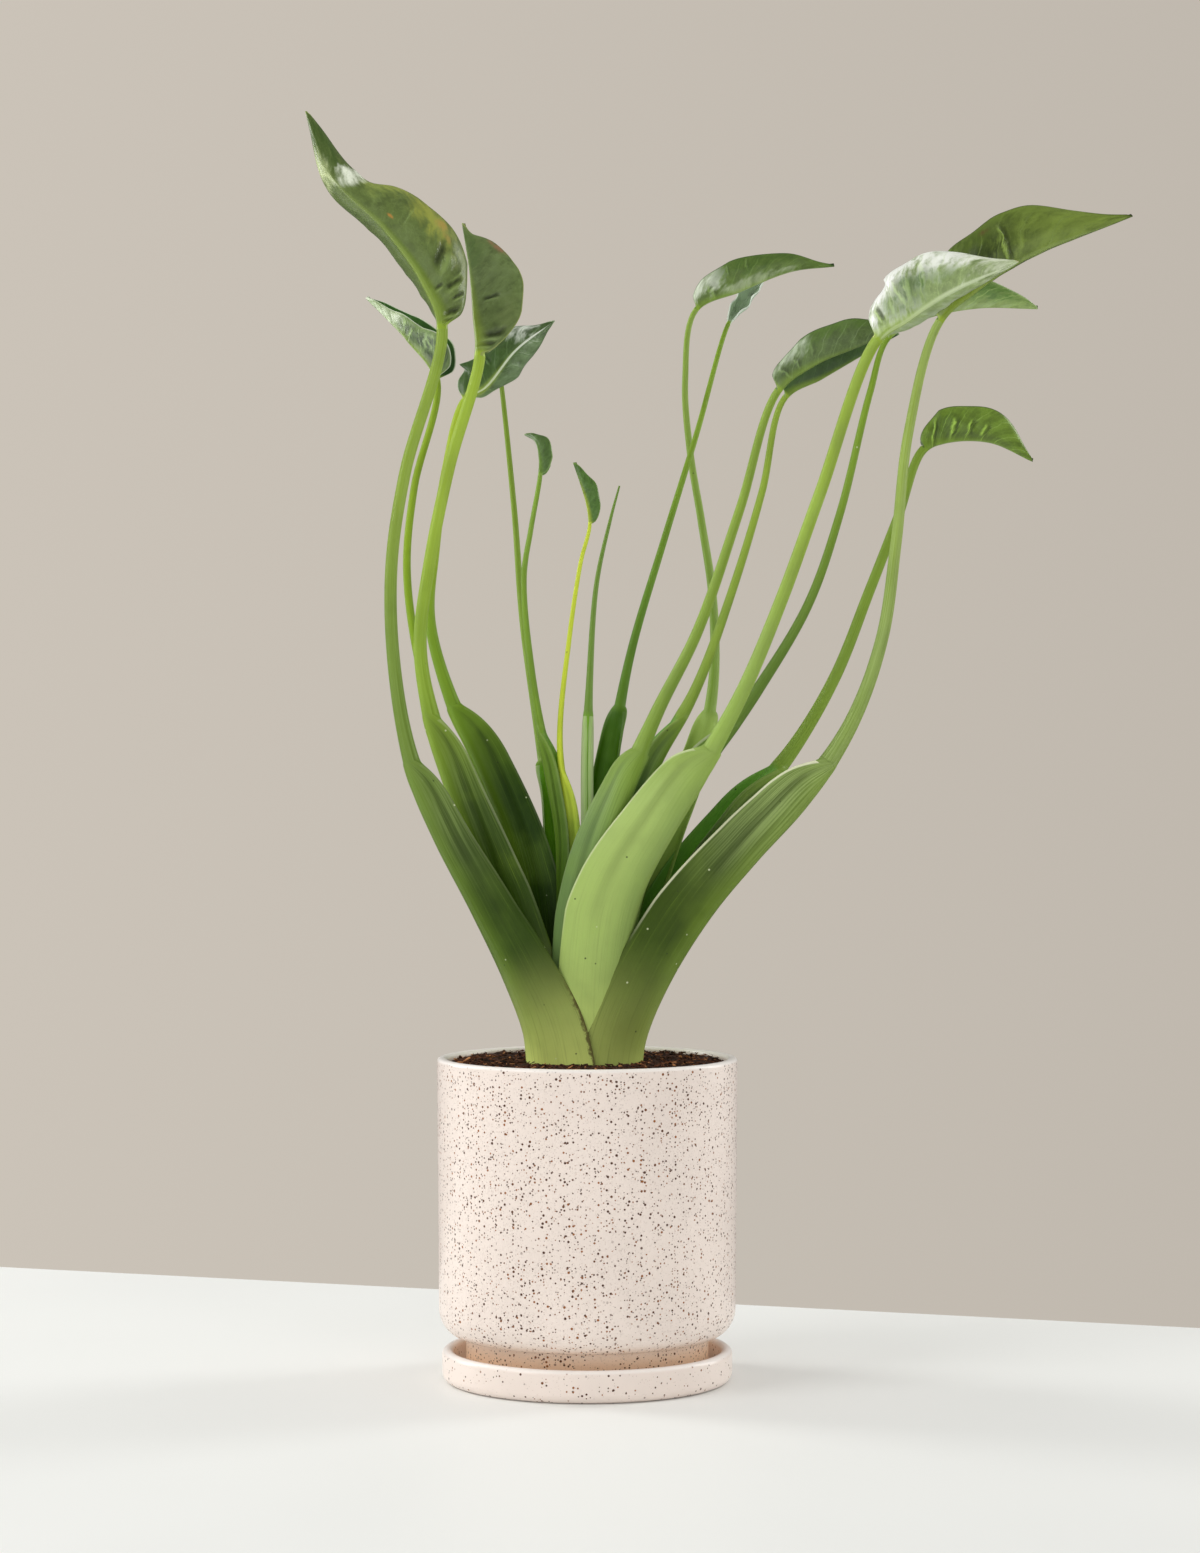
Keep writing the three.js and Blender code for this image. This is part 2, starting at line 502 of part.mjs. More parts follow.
// Points on part of an ellipse in a profile's plane, between two bearings from its centre.
function roundCorner([centreRadius, centreHeight], [acrossSize, upSize], [from, to], steps) {
  const points = [];
  for (let step = 0; step <= steps; step += 1) {
    const angle = THREE.MathUtils.degToRad(mix(from, to, step / steps));
    points.push([centreRadius + acrossSize * Math.cos(angle), centreHeight + upSize * Math.sin(angle)]);
  }
  return points;
}

// A straight-sided pot: its side turns under in a rounded corner to a narrower foot with a drain.
function potGeometry() {
  const cornerCentre = [POT_FOOT_RADIUS + FOOT_FILLET, POT_UNDERSIDE + POT_CORNER_HEIGHT];
  const cornerSize = [POT_BOTTOM_RADIUS - cornerCentre[0], POT_CORNER_HEIGHT];
  const lipSize = [LIP_RADIUS, LIP_RADIUS];
  const lipHeight = POT_HEIGHT - LIP_RADIUS;
  return turned([
    [DRAIN_RADIUS, FOOT_BOTTOM],
    [POT_FOOT_RADIUS - FOOT_FILLET, FOOT_BOTTOM],
    [POT_FOOT_RADIUS, FOOT_BOTTOM + FOOT_FILLET],
    [POT_FOOT_RADIUS, POT_UNDERSIDE],
    ...roundCorner(cornerCentre, cornerSize, [-90, 0], 5),
    ...roundCorner([POT_RADIUS - LIP_RADIUS, lipHeight], lipSize, [0, 90], 3),
    ...roundCorner([POT_INSIDE_RADIUS + LIP_RADIUS, lipHeight], lipSize, [90, 180], 3),
    [POT_INSIDE_RADIUS, INSIDE_CORNER_TOP],
    [POT_INSIDE_RADIUS - INSIDE_BEVEL, INSIDE_CORNER_TOP - POT_CORNER_HEIGHT + INSIDE_BEVEL],
    [FOOT_INSIDE_RADIUS, POT_INSIDE_STEP],
    [FOOT_INSIDE_RADIUS, POT_INSIDE_FLOOR],
    [DRAIN_RADIUS, POT_INSIDE_FLOOR],
    [DRAIN_RADIUS, FOOT_BOTTOM],
  ]);
}

// A shallow dish with a flat underside, a rounded lower corner and a full round rim.
function saucerGeometry() {
  const rim = SAUCER_WALL / 2;
  const inside = SAUCER_RADIUS - SAUCER_WALL;
  const cornerSize = [SAUCER_CORNER, SAUCER_CORNER];
  return turned([
    [0, 0],
    ...roundCorner([SAUCER_RADIUS - SAUCER_CORNER, SAUCER_CORNER], cornerSize, [-90, 0], 4),
    ...roundCorner([SAUCER_RADIUS - rim, SAUCER_HEIGHT - rim], [rim, rim], [0, 180], 6),
    [inside, SAUCER_FLOOR + SAUCER_FILLET],
    [inside - SAUCER_FILLET, SAUCER_FLOOR],
    [0, SAUCER_FLOOR],
  ]);
}

// Potting mix: a lumpy top with a plain round hole for the crown, and the pot's inside shape below.
// Each level is its radius, its height, how far it follows the crown's offset and how lumpy it is.
function soilGeometry() {
  const wall = POT_INSIDE_RADIUS - SEAT_GAP;
  const foot = FOOT_INSIDE_RADIUS - SEAT_GAP;
  const hole = CROWN_HOLE_RADIUS;
  const topLevel = (share, height, lump) => [mix(hole, wall, share), height, 1 - share, lump];
  const levels = [
    [0, POT_INSIDE_FLOOR + SEAT_GAP, 0, 0],
    [foot, POT_INSIDE_FLOOR + SEAT_GAP, 0, 0],
    [foot, POT_INSIDE_STEP + SEAT_GAP, 0, 0],
    [wall - INSIDE_BEVEL, INSIDE_CORNER_TOP - POT_CORNER_HEIGHT + INSIDE_BEVEL + SEAT_GAP, 0, 0],
    [wall, INSIDE_CORNER_TOP + SEAT_GAP, 0, 0],
    topLevel(1, SOIL_TOP - SOIL_EDGE_DROP, 0.4),
    topLevel(0.75, SOIL_TOP - SOIL_CROWN_DROP, 1),
    topLevel(0.5, SOIL_TOP, 1),
    topLevel(0.25, SOIL_TOP, 1),
    topLevel(0, SOIL_TOP - SOIL_CROWN_DROP, 0.3),
    [hole, CROWN_HOLE_FLOOR, 1, 0],
    [0, CROWN_HOLE_FLOOR, 1, 0],
  ];
  const geometry = turned(levels);
  const position = geometry.attributes.position;
  for (let index = 0; index < position.count; index += 1) {
    const [, height, follow, lumpy] = levels[index % levels.length];
    const x = position.getX(index);
    const y = position.getY(index);
    const lump = Math.sin(x * 0.31 + 1) * Math.sin(y * 0.37) + 0.6 * Math.sin(x * 0.83 + y * 0.61);
    position.setX(index, x + follow * CROWN_X);
    position.setZ(index, height + lumpy * SOIL_LUMP * lump);
  }
  return geometry;
}

const LOOKS = {
  pot: { color: 0xecdfd5, roughness: 0.35, metalness: 0 },
  saucer: { color: 0xecdfd5, roughness: 0.3, metalness: 0 },
  soil: { color: 0x3b2a20, roughness: 0.95, metalness: 0 },
  stalk: { color: 0x7fa03c, roughness: 0.45, metalness: 0 },
  blade: { color: 0x4f7442, roughness: 0.3, metalness: 0 },
};

const plant = new THREE.Group();

function addPiece(name, geometry, look) {
  const mesh = new THREE.Mesh(geometry, new THREE.MeshStandardMaterial(LOOKS[look]));
  mesh.name = name;
  plant.add(mesh);
}

addPiece('pot', potGeometry(), 'pot');
addPiece('saucer', saucerGeometry(), 'saucer');
addPiece('soil', soilGeometry(), 'soil');

// Each leaf is cut clear of the leaves outside it, which were placed before it, and what is
// left of it is its largest piece.
const outerStalks = [];
for (const leaf of LEAVES) {
  let stalk = solidFrom(stalkGeometry(leaf));
  for (const outer of outerStalks) {
    stalk = stalk.subtract(outer);
  }
  const pieces = stalk.decompose();
  pieces.sort((one, other) => other.volume() - one.volume());
  addPiece(`petiole_${leaf.number}`, geometryOf(pieces[0]), 'stalk');
  outerStalks.push(solidFrom(stalkGeometry(leaf, LEAF_GAP)));
}
for (const leaf of LEAVES.filter((entry) => entry.blade)) {
  addPiece(`blade_${leaf.number}`, bladeGeometry(leaf.blade), 'blade');
}

export default plant;
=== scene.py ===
"""Looks for a potted aroid house plant: pot, saucer, potting mix, sheaths, stalks and cupped blades."""

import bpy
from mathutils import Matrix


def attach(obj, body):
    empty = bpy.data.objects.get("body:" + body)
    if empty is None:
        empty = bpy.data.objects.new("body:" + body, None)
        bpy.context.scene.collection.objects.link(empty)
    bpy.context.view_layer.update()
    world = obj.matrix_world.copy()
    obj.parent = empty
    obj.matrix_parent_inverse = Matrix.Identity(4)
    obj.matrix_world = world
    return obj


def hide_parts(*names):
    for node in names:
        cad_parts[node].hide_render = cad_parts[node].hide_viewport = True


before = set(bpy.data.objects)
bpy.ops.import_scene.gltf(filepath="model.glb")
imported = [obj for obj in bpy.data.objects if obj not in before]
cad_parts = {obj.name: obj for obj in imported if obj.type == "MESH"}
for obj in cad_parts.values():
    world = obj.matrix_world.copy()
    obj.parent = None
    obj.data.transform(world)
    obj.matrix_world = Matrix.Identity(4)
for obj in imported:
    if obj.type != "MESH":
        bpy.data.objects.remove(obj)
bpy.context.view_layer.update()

import math
import random

import bpy
from mathutils import Matrix, Vector, noise

bl_info = {
    "name": "Potted Aroid Plant",
    "version": (1, 0, 0),
    "blender": (4, 5, 0),
    "location": "3D View > Sidebar > Plant",
    "description": "Builds a potted long-stalked house plant with its pot, saucer and potting mix",
    "category": "Add Mesh",
}

MM = 0.001
# In millimetres: the crown's middle across the pot, the height of the sheaths' feet, and how thick the
# blades and the edges of the sheaths are.
CROWN_X = -2.0
SHEATH_FOOT = 129
BLADE_THICKNESS = 1.0
WING_THICKNESS = 1.2
# Side veins on one side of a blade, and how far they lean from the midrib to the margin.
VEIN_COUNT = 8.5
VEIN_LEAN = 0.2

# One entry for each leaf, oldest and outermost first, in millimetres.
# stalk: middle of the keel and stalk from the potting mix to the blade. keel: bearing of the keel's
# back. wings: arc from keel to wing edge at the foot, half way up and under the shoulder.
# midrib: from stalk to tip. open: the way the cup opens, tip_open: the same near the tip if it twists.
# rise: slope of the blade beside the midrib and at its margin, in degrees from flat.
# near, far: share of the midrib and the arc from midrib to margin there, on the two sides. A blade
# without far has both sides alike.
LEAVES = [
    {
        "number": "01", "keel": 213, "wings": (31, 18, 9), "shoulder": 268, "radius": (2.8, 2.4),
        "stalk": [(-22, -13, 129), (-24, -15, 150), (-33, -17, 175), (-47, -19, 205), (-62, -21, 235),
                  (-75, -23, 268), (-82, -27, 308), (-83, -31, 350), (-77, -34, 390), (-61, -40, 449)],
        "midrib": [(-61, -40, 450), (-68, -42, 469), (-84, -42, 491), (-108, -38, 515), (-119, -32, 543)],
        "open": (0.41, 0.87, 0.29), "tip_open": (0.22, 0.97, 0.13), "rise": (25, 100),
        "near": [(0.05, 11.5), (0.12, 17.5), (0.25, 25), (0.38, 30), (0.5, 26.5), (0.6, 22), (0.66, 16),
                 (0.75, 16), (0.9, 8)],
        "far": [(0.05, 12), (0.12, 18), (0.25, 25), (0.38, 28), (0.5, 26), (0.6, 22), (0.75, 14), (0.9, 4.5)],
    },
    {
        "number": "15", "keel": -20, "wings": (31, 26.5, 13.5), "shoulder": 268, "radius": (3.1, 1.8),
        "stalk": [(21, -6, 129), (23, -7, 147), (34, -10, 174), (52, -13, 204), (71, -15, 228),
                  (92, -16, 252), (113, -18, 284), (126, -19, 320), (132, -21, 362), (137, -23, 408),
                  (150, -25, 454)],
        "midrib": [(150, -25, 455), (165, -26, 468), (189, -26, 483), (233, -18, 501)],
        "open": (-0.37, 0.7, 0.6), "rise": (35, 95),
        "near": [(0.06, 8), (0.15, 13), (0.33, 20), (0.5, 23), (0.65, 22), (0.8, 15), (0.93, 5)],
        "far": [(0.06, 9), (0.15, 14), (0.33, 22), (0.5, 24.5), (0.6, 25.5), (0.67, 24.5), (0.75, 22),
                (0.85, 13), (0.93, 5.5)],
    },
    {
        "number": "02", "keel": 205, "wings": (25, 20, 9), "shoulder": 288, "radius": (2.9, 2.4),
        "stalk": [(-23, -5, 129), (-25, -5, 150), (-34, -4, 187), (-46, -3, 223), (-58, -3, 257),
                  (-68, -5, 290), (-72, -7, 318), (-68, -9, 352), (-59, -12, 395), (-46, -15, 440)],
        "midrib": [(-46, -15, 441), (-48, -6, 460), (-51, 10, 482), (-55, 32, 505)],
        "open": (0.9, 0.35, -0.1), "rise": (45, 90),
        "near": [(0.05, 5.5), (0.12, 11.5), (0.22, 17.5), (0.33, 20.5), (0.5, 22.5), (0.6, 21.5),
                 (0.67, 20), (0.75, 17.5), (0.83, 13), (0.87, 9), (0.91, 3.5)],
        "far": [(0.05, 5), (0.12, 10), (0.22, 15), (0.33, 18), (0.5, 20), (0.6, 19), (0.75, 15),
                (0.85, 8), (0.92, 3.5)],
    },
    {
        "number": "13", "keel": -45, "wings": (26, 29, 15), "shoulder": 273, "radius": (3.1, 2.3),
        "stalk": [(12, -14, 129), (12, -15, 150), (14, -19, 181), (20, -24, 212), (33, -29, 238),
                  (49, -35, 266), (66, -44, 298), (82, -52, 337), (97, -58, 379), (120, -70, 441)],
        "midrib": [(120, -70, 442), (132, -74, 450), (150, -76, 461), (178, -72, 474)],
        "open": (-0.25, 0.87, 0.43), "rise": (25, 105),
        "near": [(0.06, 9), (0.15, 15), (0.33, 23), (0.5, 26), (0.67, 24), (0.8, 17), (0.9, 8)],
        "far": [(0.05, 11.5), (0.15, 19.5), (0.33, 25.5), (0.5, 28.5), (0.67, 26.5), (0.8, 19),
                (0.9, 9), (0.96, 3.8)],
    },
    {
        "number": "16", "keel": 18, "wings": (20, 18, 9), "shoulder": 266, "radius": (2.8, 1.9),
        "stalk": [(18, 7, 129), (20, 7, 150), (29, 8, 185), (45, 11, 217), (65, 15, 243),
                  (90, 20, 273), (109, 25, 305), (124, 29, 342), (137, 33, 375), (149, 40, 405)],
        "midrib": [(149, 40, 406), (159, 42, 410), (179, 46, 410), (199, 52, 402)],
        "open": (0, 0.45, 0.9), "rise": (50, 95),
        "near": [(0.08, 6), (0.2, 11), (0.35, 14.5), (0.5, 15.5), (0.65, 14), (0.8, 9.5), (0.92, 4)],
        "far": [(0.08, 6), (0.2, 10.5), (0.35, 14.5), (0.5, 16), (0.65, 15.5), (0.8, 11), (0.92, 4.5)],
    },
    {
        "number": "03", "keel": 168, "wings": (12, 10, 6), "shoulder": 270, "radius": (2.0, 1.5),
        "stalk": [(-18, 12, 129), (-20, 13, 150), (-30, 16, 190), (-48, 20, 240), (-64, 25, 278),
                  (-74, 30, 310), (-80, 36, 352), (-77, 40, 389), (-67, 45, 436)],
        "midrib": [(-67, 45, 437), (-80, 55, 456), (-90, 68, 467), (-101, 85, 479)],
        "open": (0.6, 0.3, 0.6), "rise": (45, 90),
        "near": [(0.05, 8), (0.12, 11.5), (0.2, 12), (0.33, 9), (0.5, 7), (0.67, 5), (0.8, 3.4), (0.9, 2)],
        "far": [(0.05, 10), (0.12, 15), (0.2, 18.5), (0.33, 18), (0.5, 14.5), (0.67, 12), (0.8, 8), (0.9, 5)],
    },
    {
        "number": "09", "keel": 72, "wings": (15, 15, 8), "shoulder": 290, "radius": (2.1, 1.2),
        "stalk": [(5, 22, 129), (7, 23, 150), (17, 24, 190), (35, 26, 236), (49, 34, 268),
                  (56, 44, 303), (56, 53, 340), (51, 60, 376), (46, 65, 408), (44, 69, 440),
                  (49, 72, 471)],
        "midrib": [(49, 72, 472), (69, 74, 481), (92, 76, 490), (112, 80, 493)],
        "open": (-0.1, 0.45, 0.9), "rise": (45, 95),
        "near": [(0.05, 5.5), (0.15, 10), (0.33, 12.5), (0.5, 11.5), (0.67, 8), (0.8, 4.6), (0.9, 2.4)],
        "far": [(0.05, 6), (0.15, 11.5), (0.33, 14.2), (0.5, 13.2), (0.67, 8.5), (0.8, 5), (0.9, 2.4)],
    },
    {
        "number": "11", "keel": -60, "wings": (19, 18, 10), "shoulder": 272, "radius": (2.9, 1.6),
        "stalk": [(5, -15, 129), (3, -16, 155), (2, -17, 190), (6, -18, 226), (16, -21, 256),
                  (30, -23, 289), (47, -24, 323), (65, -27, 375), (81, -30, 424)],
        "midrib": [(81, -30, 425), (96, -33, 436), (116, -34, 444), (136, -32, 453)],
        "open": (-0.2, 0.45, 0.85), "rise": (45, 95),
        "near": [(0.05, 6), (0.15, 8.5), (0.33, 11), (0.5, 12.5), (0.67, 11), (0.85, 5.5)],
        "far": [(0.05, 6.6), (0.15, 9.3), (0.33, 12.2), (0.5, 13.8), (0.67, 12.4), (0.85, 6.2)],
    },
    {
        "number": "04", "keel": 212, "wings": (13, 19, 11), "shoulder": 292, "radius": (2.5, 1.8),
        "stalk": [(-18, 6, 129), (-19, 7, 150), (-24, 9, 190), (-32, 11, 229), (-46, 14, 266),
                  (-60, 16, 296), (-69, 19, 330), (-67, 21, 360), (-62, 23, 396), (-54, 25, 425)],
        "midrib": [(-54, 25, 426), (-45, 26, 432), (-32, 32, 449), (-15, 48, 464)],
        "open": (-0.35, 0.9, 0.05), "rise": (20, 60),
        "near": [(0.15, 2), (0.33, 5.5), (0.5, 11), (0.67, 14.5), (0.8, 12.5), (0.88, 8.5), (0.94, 3)],
        "far": [(0.1, 11), (0.33, 17), (0.5, 14.2), (0.67, 10.5), (0.8, 9.7), (0.9, 3.9)],
    },
    {
        "number": "14", "keel": -5, "wings": (18, 17, 10), "shoulder": 284, "radius": (2.4, 1.2),
        "stalk": [(15, -1, 129), (16, -2, 150), (19, -3, 190), (28, -3, 226), (50, -1, 265),
                  (74, 2, 299), (96, 5, 336), (110, 7, 376), (123, 10, 428), (131, 10, 451)],
        "midrib": [(131, 10, 452), (147, 12, 461), (170, 16, 466), (198, 26, 467)],
        "open": (-0.1, 0.12, 0.95), "rise": (40, 90),
        "near": [(0.1, 5), (0.33, 8), (0.6, 7.5), (0.8, 5), (0.92, 2.4)],
        "far": [(0.1, 8), (0.33, 15), (0.5, 14.5), (0.7, 12.5), (0.8, 9.5), (0.92, 5)],
    },
    {
        "number": "05", "keel": 110, "wings": (13, 12, 8), "shoulder": 268, "radius": (1.9, 1.05),
        "stalk": [(-8, 15, 129), (-8, 16, 155), (-11, 19, 200), (-16, 25, 246), (-22, 34, 283),
                  (-29, 48, 331), (-33, 60, 380), (-39, 70, 436)],
        "midrib": [(-39, 70, 437), (-41, 86, 448), (-43, 108, 456), (-46, 135, 460)],
        "open": (0, 0.1, 1), "rise": (35, 85),
        "near": [(0.1, 7), (0.3, 11.5), (0.5, 11.5), (0.75, 7), (0.92, 2.4)],
    },
    {
        "number": "12", "keel": 5, "wings": (14, 14, 8), "shoulder": 288, "radius": (2.2, 1.3),
        "stalk": [(11, 1, 129), (12, 1, 150), (13, 0, 200), (18, -1, 238), (30, 1, 268),
                  (47, 3, 299), (63, 6, 342), (76, 8, 385), (86, 10, 425)],
        "midrib": [(86, 10, 426), (102, 12, 435), (119, 18, 445), (137, 28, 456)],
        "open": (-0.2, 0.4, 0.9), "rise": (40, 90),
        "near": [(0.1, 7), (0.3, 12.5), (0.5, 12.5), (0.75, 8), (0.92, 3)],
    },
    {
        "number": "10", "keel": 70, "wings": (12, 12, 7), "shoulder": 292, "radius": (1.9, 1.0),
        "stalk": [(2, 11, 129), (2, 11, 160), (4, 12, 200), (7, 14, 238), (11, 19, 272),
                  (19, 30, 315), (34, 42, 366), (49, 58, 415), (64, 86, 466)],
        "midrib": [(64, 86, 467), (69, 95, 474), (75, 102, 482), (81, 108, 489)],
        "open": (0.35, -0.25, 0.85), "rise": (30, 85),
        "near": [(0.1, 4), (0.3, 6.5), (0.5, 7), (0.7, 5.5), (0.9, 2.4)],
    },
    {
        "number": "06", "keel": 165, "wings": (12, 11, 7), "shoulder": 282, "radius": (1.5, 1.0),
        "stalk": [(-13, 3, 129), (-13, 4, 160), (-12, 5, 200), (-12, 6, 235), (-17, 10, 264),
                  (-24, 17, 304), (-28, 25, 348), (-25, 30, 370), (-21, 35, 393)],
        "midrib": [(-21, 35, 394), (-21, 40, 402), (-23, 46, 410), (-28, 54, 414)],
        "open": (0.8, 0.4, 0.3), "rise": (40, 90),
        "near": [(0.12, 4), (0.35, 6), (0.6, 5.4), (0.85, 2.4)],
    },
    {
        "number": "07", "keel": 200, "wings": (8, 8, 5), "shoulder": 264, "radius": (1.2, 0.8),
        "stalk": [(-9, -2, 129), (-8, -2, 160), (-7, 0, 200), (-8, 3, 236), (-12, 9, 277),
                  (-8, 17, 321), (-3, 25, 355), (1, 30, 371)],
        "midrib": [(1, 30, 372), (0, 32, 381), (-3, 35, 391), (-6, 38, 400)],
        "open": (0.9, 0.4, 0.1), "rise": (40, 90),
        "near": [(0.12, 4), (0.4, 6.4), (0.65, 5.6), (0.88, 2.4)],
    },
    {
        "number": "08", "keel": 90, "wings": (3, 3, 2.5), "shoulder": 290, "radius": (1.5, 0.4),
        "stalk": [(-2, 2, 129), (-1, 2, 170), (0, 1, 230), (0, 3, 270), (1, 6, 303),
                  (4, 10, 345), (10, 13, 373), (14, 15, 388)],
        "midrib": None,
    },
]

# Colours of each leaf, as 0 to 255 display values: outside of the sheath, inside of the sheath,
# stalk, underside of the blade, its upper face, and the margin. Leaf 08 has no blade.
GREENS = {
    "01": ((50, 73, 8), (96, 150, 44), (104, 134, 30), (101, 120, 58), (74, 98, 34), (158, 176, 88)),
    "15": ((60, 82, 12), (110, 160, 52), (118, 146, 38), (92, 112, 34), (70, 98, 30), (60, 74, 34)),
    "02": ((56, 82, 8), (100, 150, 46), (146, 178, 42), (104, 124, 66), (66, 96, 36), (150, 160, 90)),
    "13": ((168, 193, 106), (150, 190, 90), (146, 176, 74), (152, 174, 112), (90, 120, 56), (206, 200, 150)),
    "16": ((56, 86, 12), (96, 150, 44), (124, 154, 44), (116, 146, 46), (60, 94, 36), (76, 92, 50)),
    "03": ((40, 70, 2), (96, 150, 40), (136, 168, 38), (138, 163, 104), (46, 92, 16), (226, 236, 210)),
    "09": ((150, 178, 76), (156, 184, 88), (118, 154, 36), (104, 130, 56), (62, 98, 36), (60, 90, 36)),
    "11": ((112, 142, 80), (100, 150, 60), (126, 156, 48), (96, 118, 64), (62, 98, 36), (60, 84, 42)),
    "04": ((40, 68, 4), (100, 156, 40), (124, 158, 40), (80, 108, 54), (72, 106, 58), (190, 206, 172)),
    "14": ((118, 152, 60), (150, 190, 70), (92, 124, 34), (154, 180, 102), (66, 118, 24), (160, 184, 124)),
    "05": ((74, 110, 22), (104, 160, 20), (130, 162, 50), (98, 126, 60), (66, 110, 40), (130, 160, 90)),
    "12": ((84, 112, 64), (96, 150, 44), (138, 166, 54), (66, 96, 42), (50, 84, 30), (120, 150, 96)),
    "10": ((60, 98, 2), (62, 104, 0), (102, 142, 42), (160, 186, 148), (160, 184, 150), (236, 243, 234)),
    "06": ((74, 106, 26), (112, 160, 30), (126, 162, 44), (86, 116, 56), (72, 110, 42), (130, 160, 90)),
    "07": ((150, 180, 50), (140, 180, 50), (216, 230, 58), (84, 120, 50), (60, 104, 36), (120, 150, 70)),
    "08": ((88, 138, 26), (124, 176, 40), (102, 140, 40)),
}

# Display colour of a stalk where it nears its blade.
STALK_TOPS = {"01": (138, 166, 34), "02": (162, 190, 46), "03": (146, 176, 40), "04": (172, 198, 54),
              "05": (128, 158, 38), "09": (134, 166, 42), "10": (136, 170, 48), "11": (134, 164, 42),
              "12": (146, 174, 50), "13": (146, 174, 44), "14": (130, 164, 32), "15": (150, 176, 46),
              "16": (126, 156, 40)}

# Creases pressed into a blade from below: share, column, length along and across, depth in millimetres
# and slant. The blade's colour paints shade in each crease and a highlight on the lip beside it.
CREASES = {
    "01": [(0.072, -0.42, 0.015, 0.26, 1.2, 0.35), (0.035, -0.35, 0.009, 0.16, 0.8, 0.2),
           (0.185, -0.52, 0.015, 0.2, 1.1, 0.5), (0.2, -0.2, 0.010, 0.08, 0.5, 0.2),
           (0.315, -0.44, 0.024, 0.16, 1.2, 1.0), (0.125, -0.6, 0.008, 0.2, 0.5, 0.4)],
    "02": [(0.155, -0.5, 0.028, 0.32, 1.3, 0.2), (0.08, -0.5, 0.018, 0.28, 1.0, 0.4),
           (0.43, -0.36, 0.014, 0.16, 0.8, 0.2)],
    "13": [(0.14, 0.40, 0.014, 0.2, 0.9, 0.3)],
}

# Raised pale side veins with a painted highlight along each and painted shade in the hollow beside
# it: share, column, length along and across, slant and strength.
STROKES = {
    "16": [(0.22, 0.35, 0.02, 0.5, -4.0, 1.0), (0.42, 0.36, 0.018, 0.26, -2.0, 1.0),
           (0.54, 0.34, 0.016, 0.22, -1.5, 0.95), (0.64, 0.3, 0.014, 0.18, -1.0, 0.85)],
    "10": [(0.35, -0.35, 0.05, 0.4, 1.0, 0.8), (0.45, 0.4, 0.05, 0.4, -1.0, 0.8),
           (0.72, 0.2, 0.04, 0.4, 0.6, 0.7)],
    "15": [(0.6, 0.4, 0.012, 0.34, -2.5, 0.9), (0.48, 0.22, 0.010, 0.16, -1.5, 0.4),
           (0.38, 0.2, 0.012, 0.16, -1.0, 0.5), (0.33, 0.34, 0.014, 0.14, -2.0, 0.4)],
    "13": [(0.30, 0.32, 0.024, 0.16, -1.2, 0.25), (0.41, 0.42, 0.018, 0.26, -0.6, 0.3),
           (0.49, 0.36, 0.026, 0.18, -1.6, 0.25), (0.6, 0.46, 0.016, 0.22, -2.2, 0.2)],
    "11": [(0.14, 0.4, 0.016, 0.3, 1.4, 0.5), (0.24, 0.36, 0.014, 0.2, 0.2, 0.5),
           (0.38, 0.46, 0.012, 0.2, -1.0, 0.3), (0.28, -0.4, 0.018, 0.3, 1.2, 0.6),
           (0.44, -0.36, 0.012, 0.3, 0.4, 0.5)],
    "09": [(0.3, 0.7, 0.008, 0.2, -1.0, 0.25), (0.44, 0.72, 0.008, 0.2, -1.4, 0.25),
           (0.18, 0.3, 0.016, 0.3, 0.6, 0.4)],
    "03": [(0.26, -0.5, 0.03, 0.3, 1.2, 0.5), (0.4, -0.4, 0.02, 0.24, 0.6, 0.6),
           (0.52, -0.5, 0.026, 0.3, 1.6, 0.5)],
    "04": [(0.35, 0.4, 0.014, 0.3, -1.5, 0.4), (0.52, 0.5, 0.012, 0.2, -1.0, 0.4),
           (0.4, -0.5, 0.02, 0.4, 1.5, 0.5)],
    "14": [(0.4, -0.4, 0.02, 0.3, 1.0, 0.5), (0.55, -0.4, 0.014, 0.24, 1.4, 0.5),
           (0.7, -0.5, 0.012, 0.3, 0.6, 0.4)],
    "01": [(0.5, -0.42, 0.006, 0.18, 2.0, 0.25), (0.24, -0.6, 0.02, 0.14, 1.0, 0.3)],
}
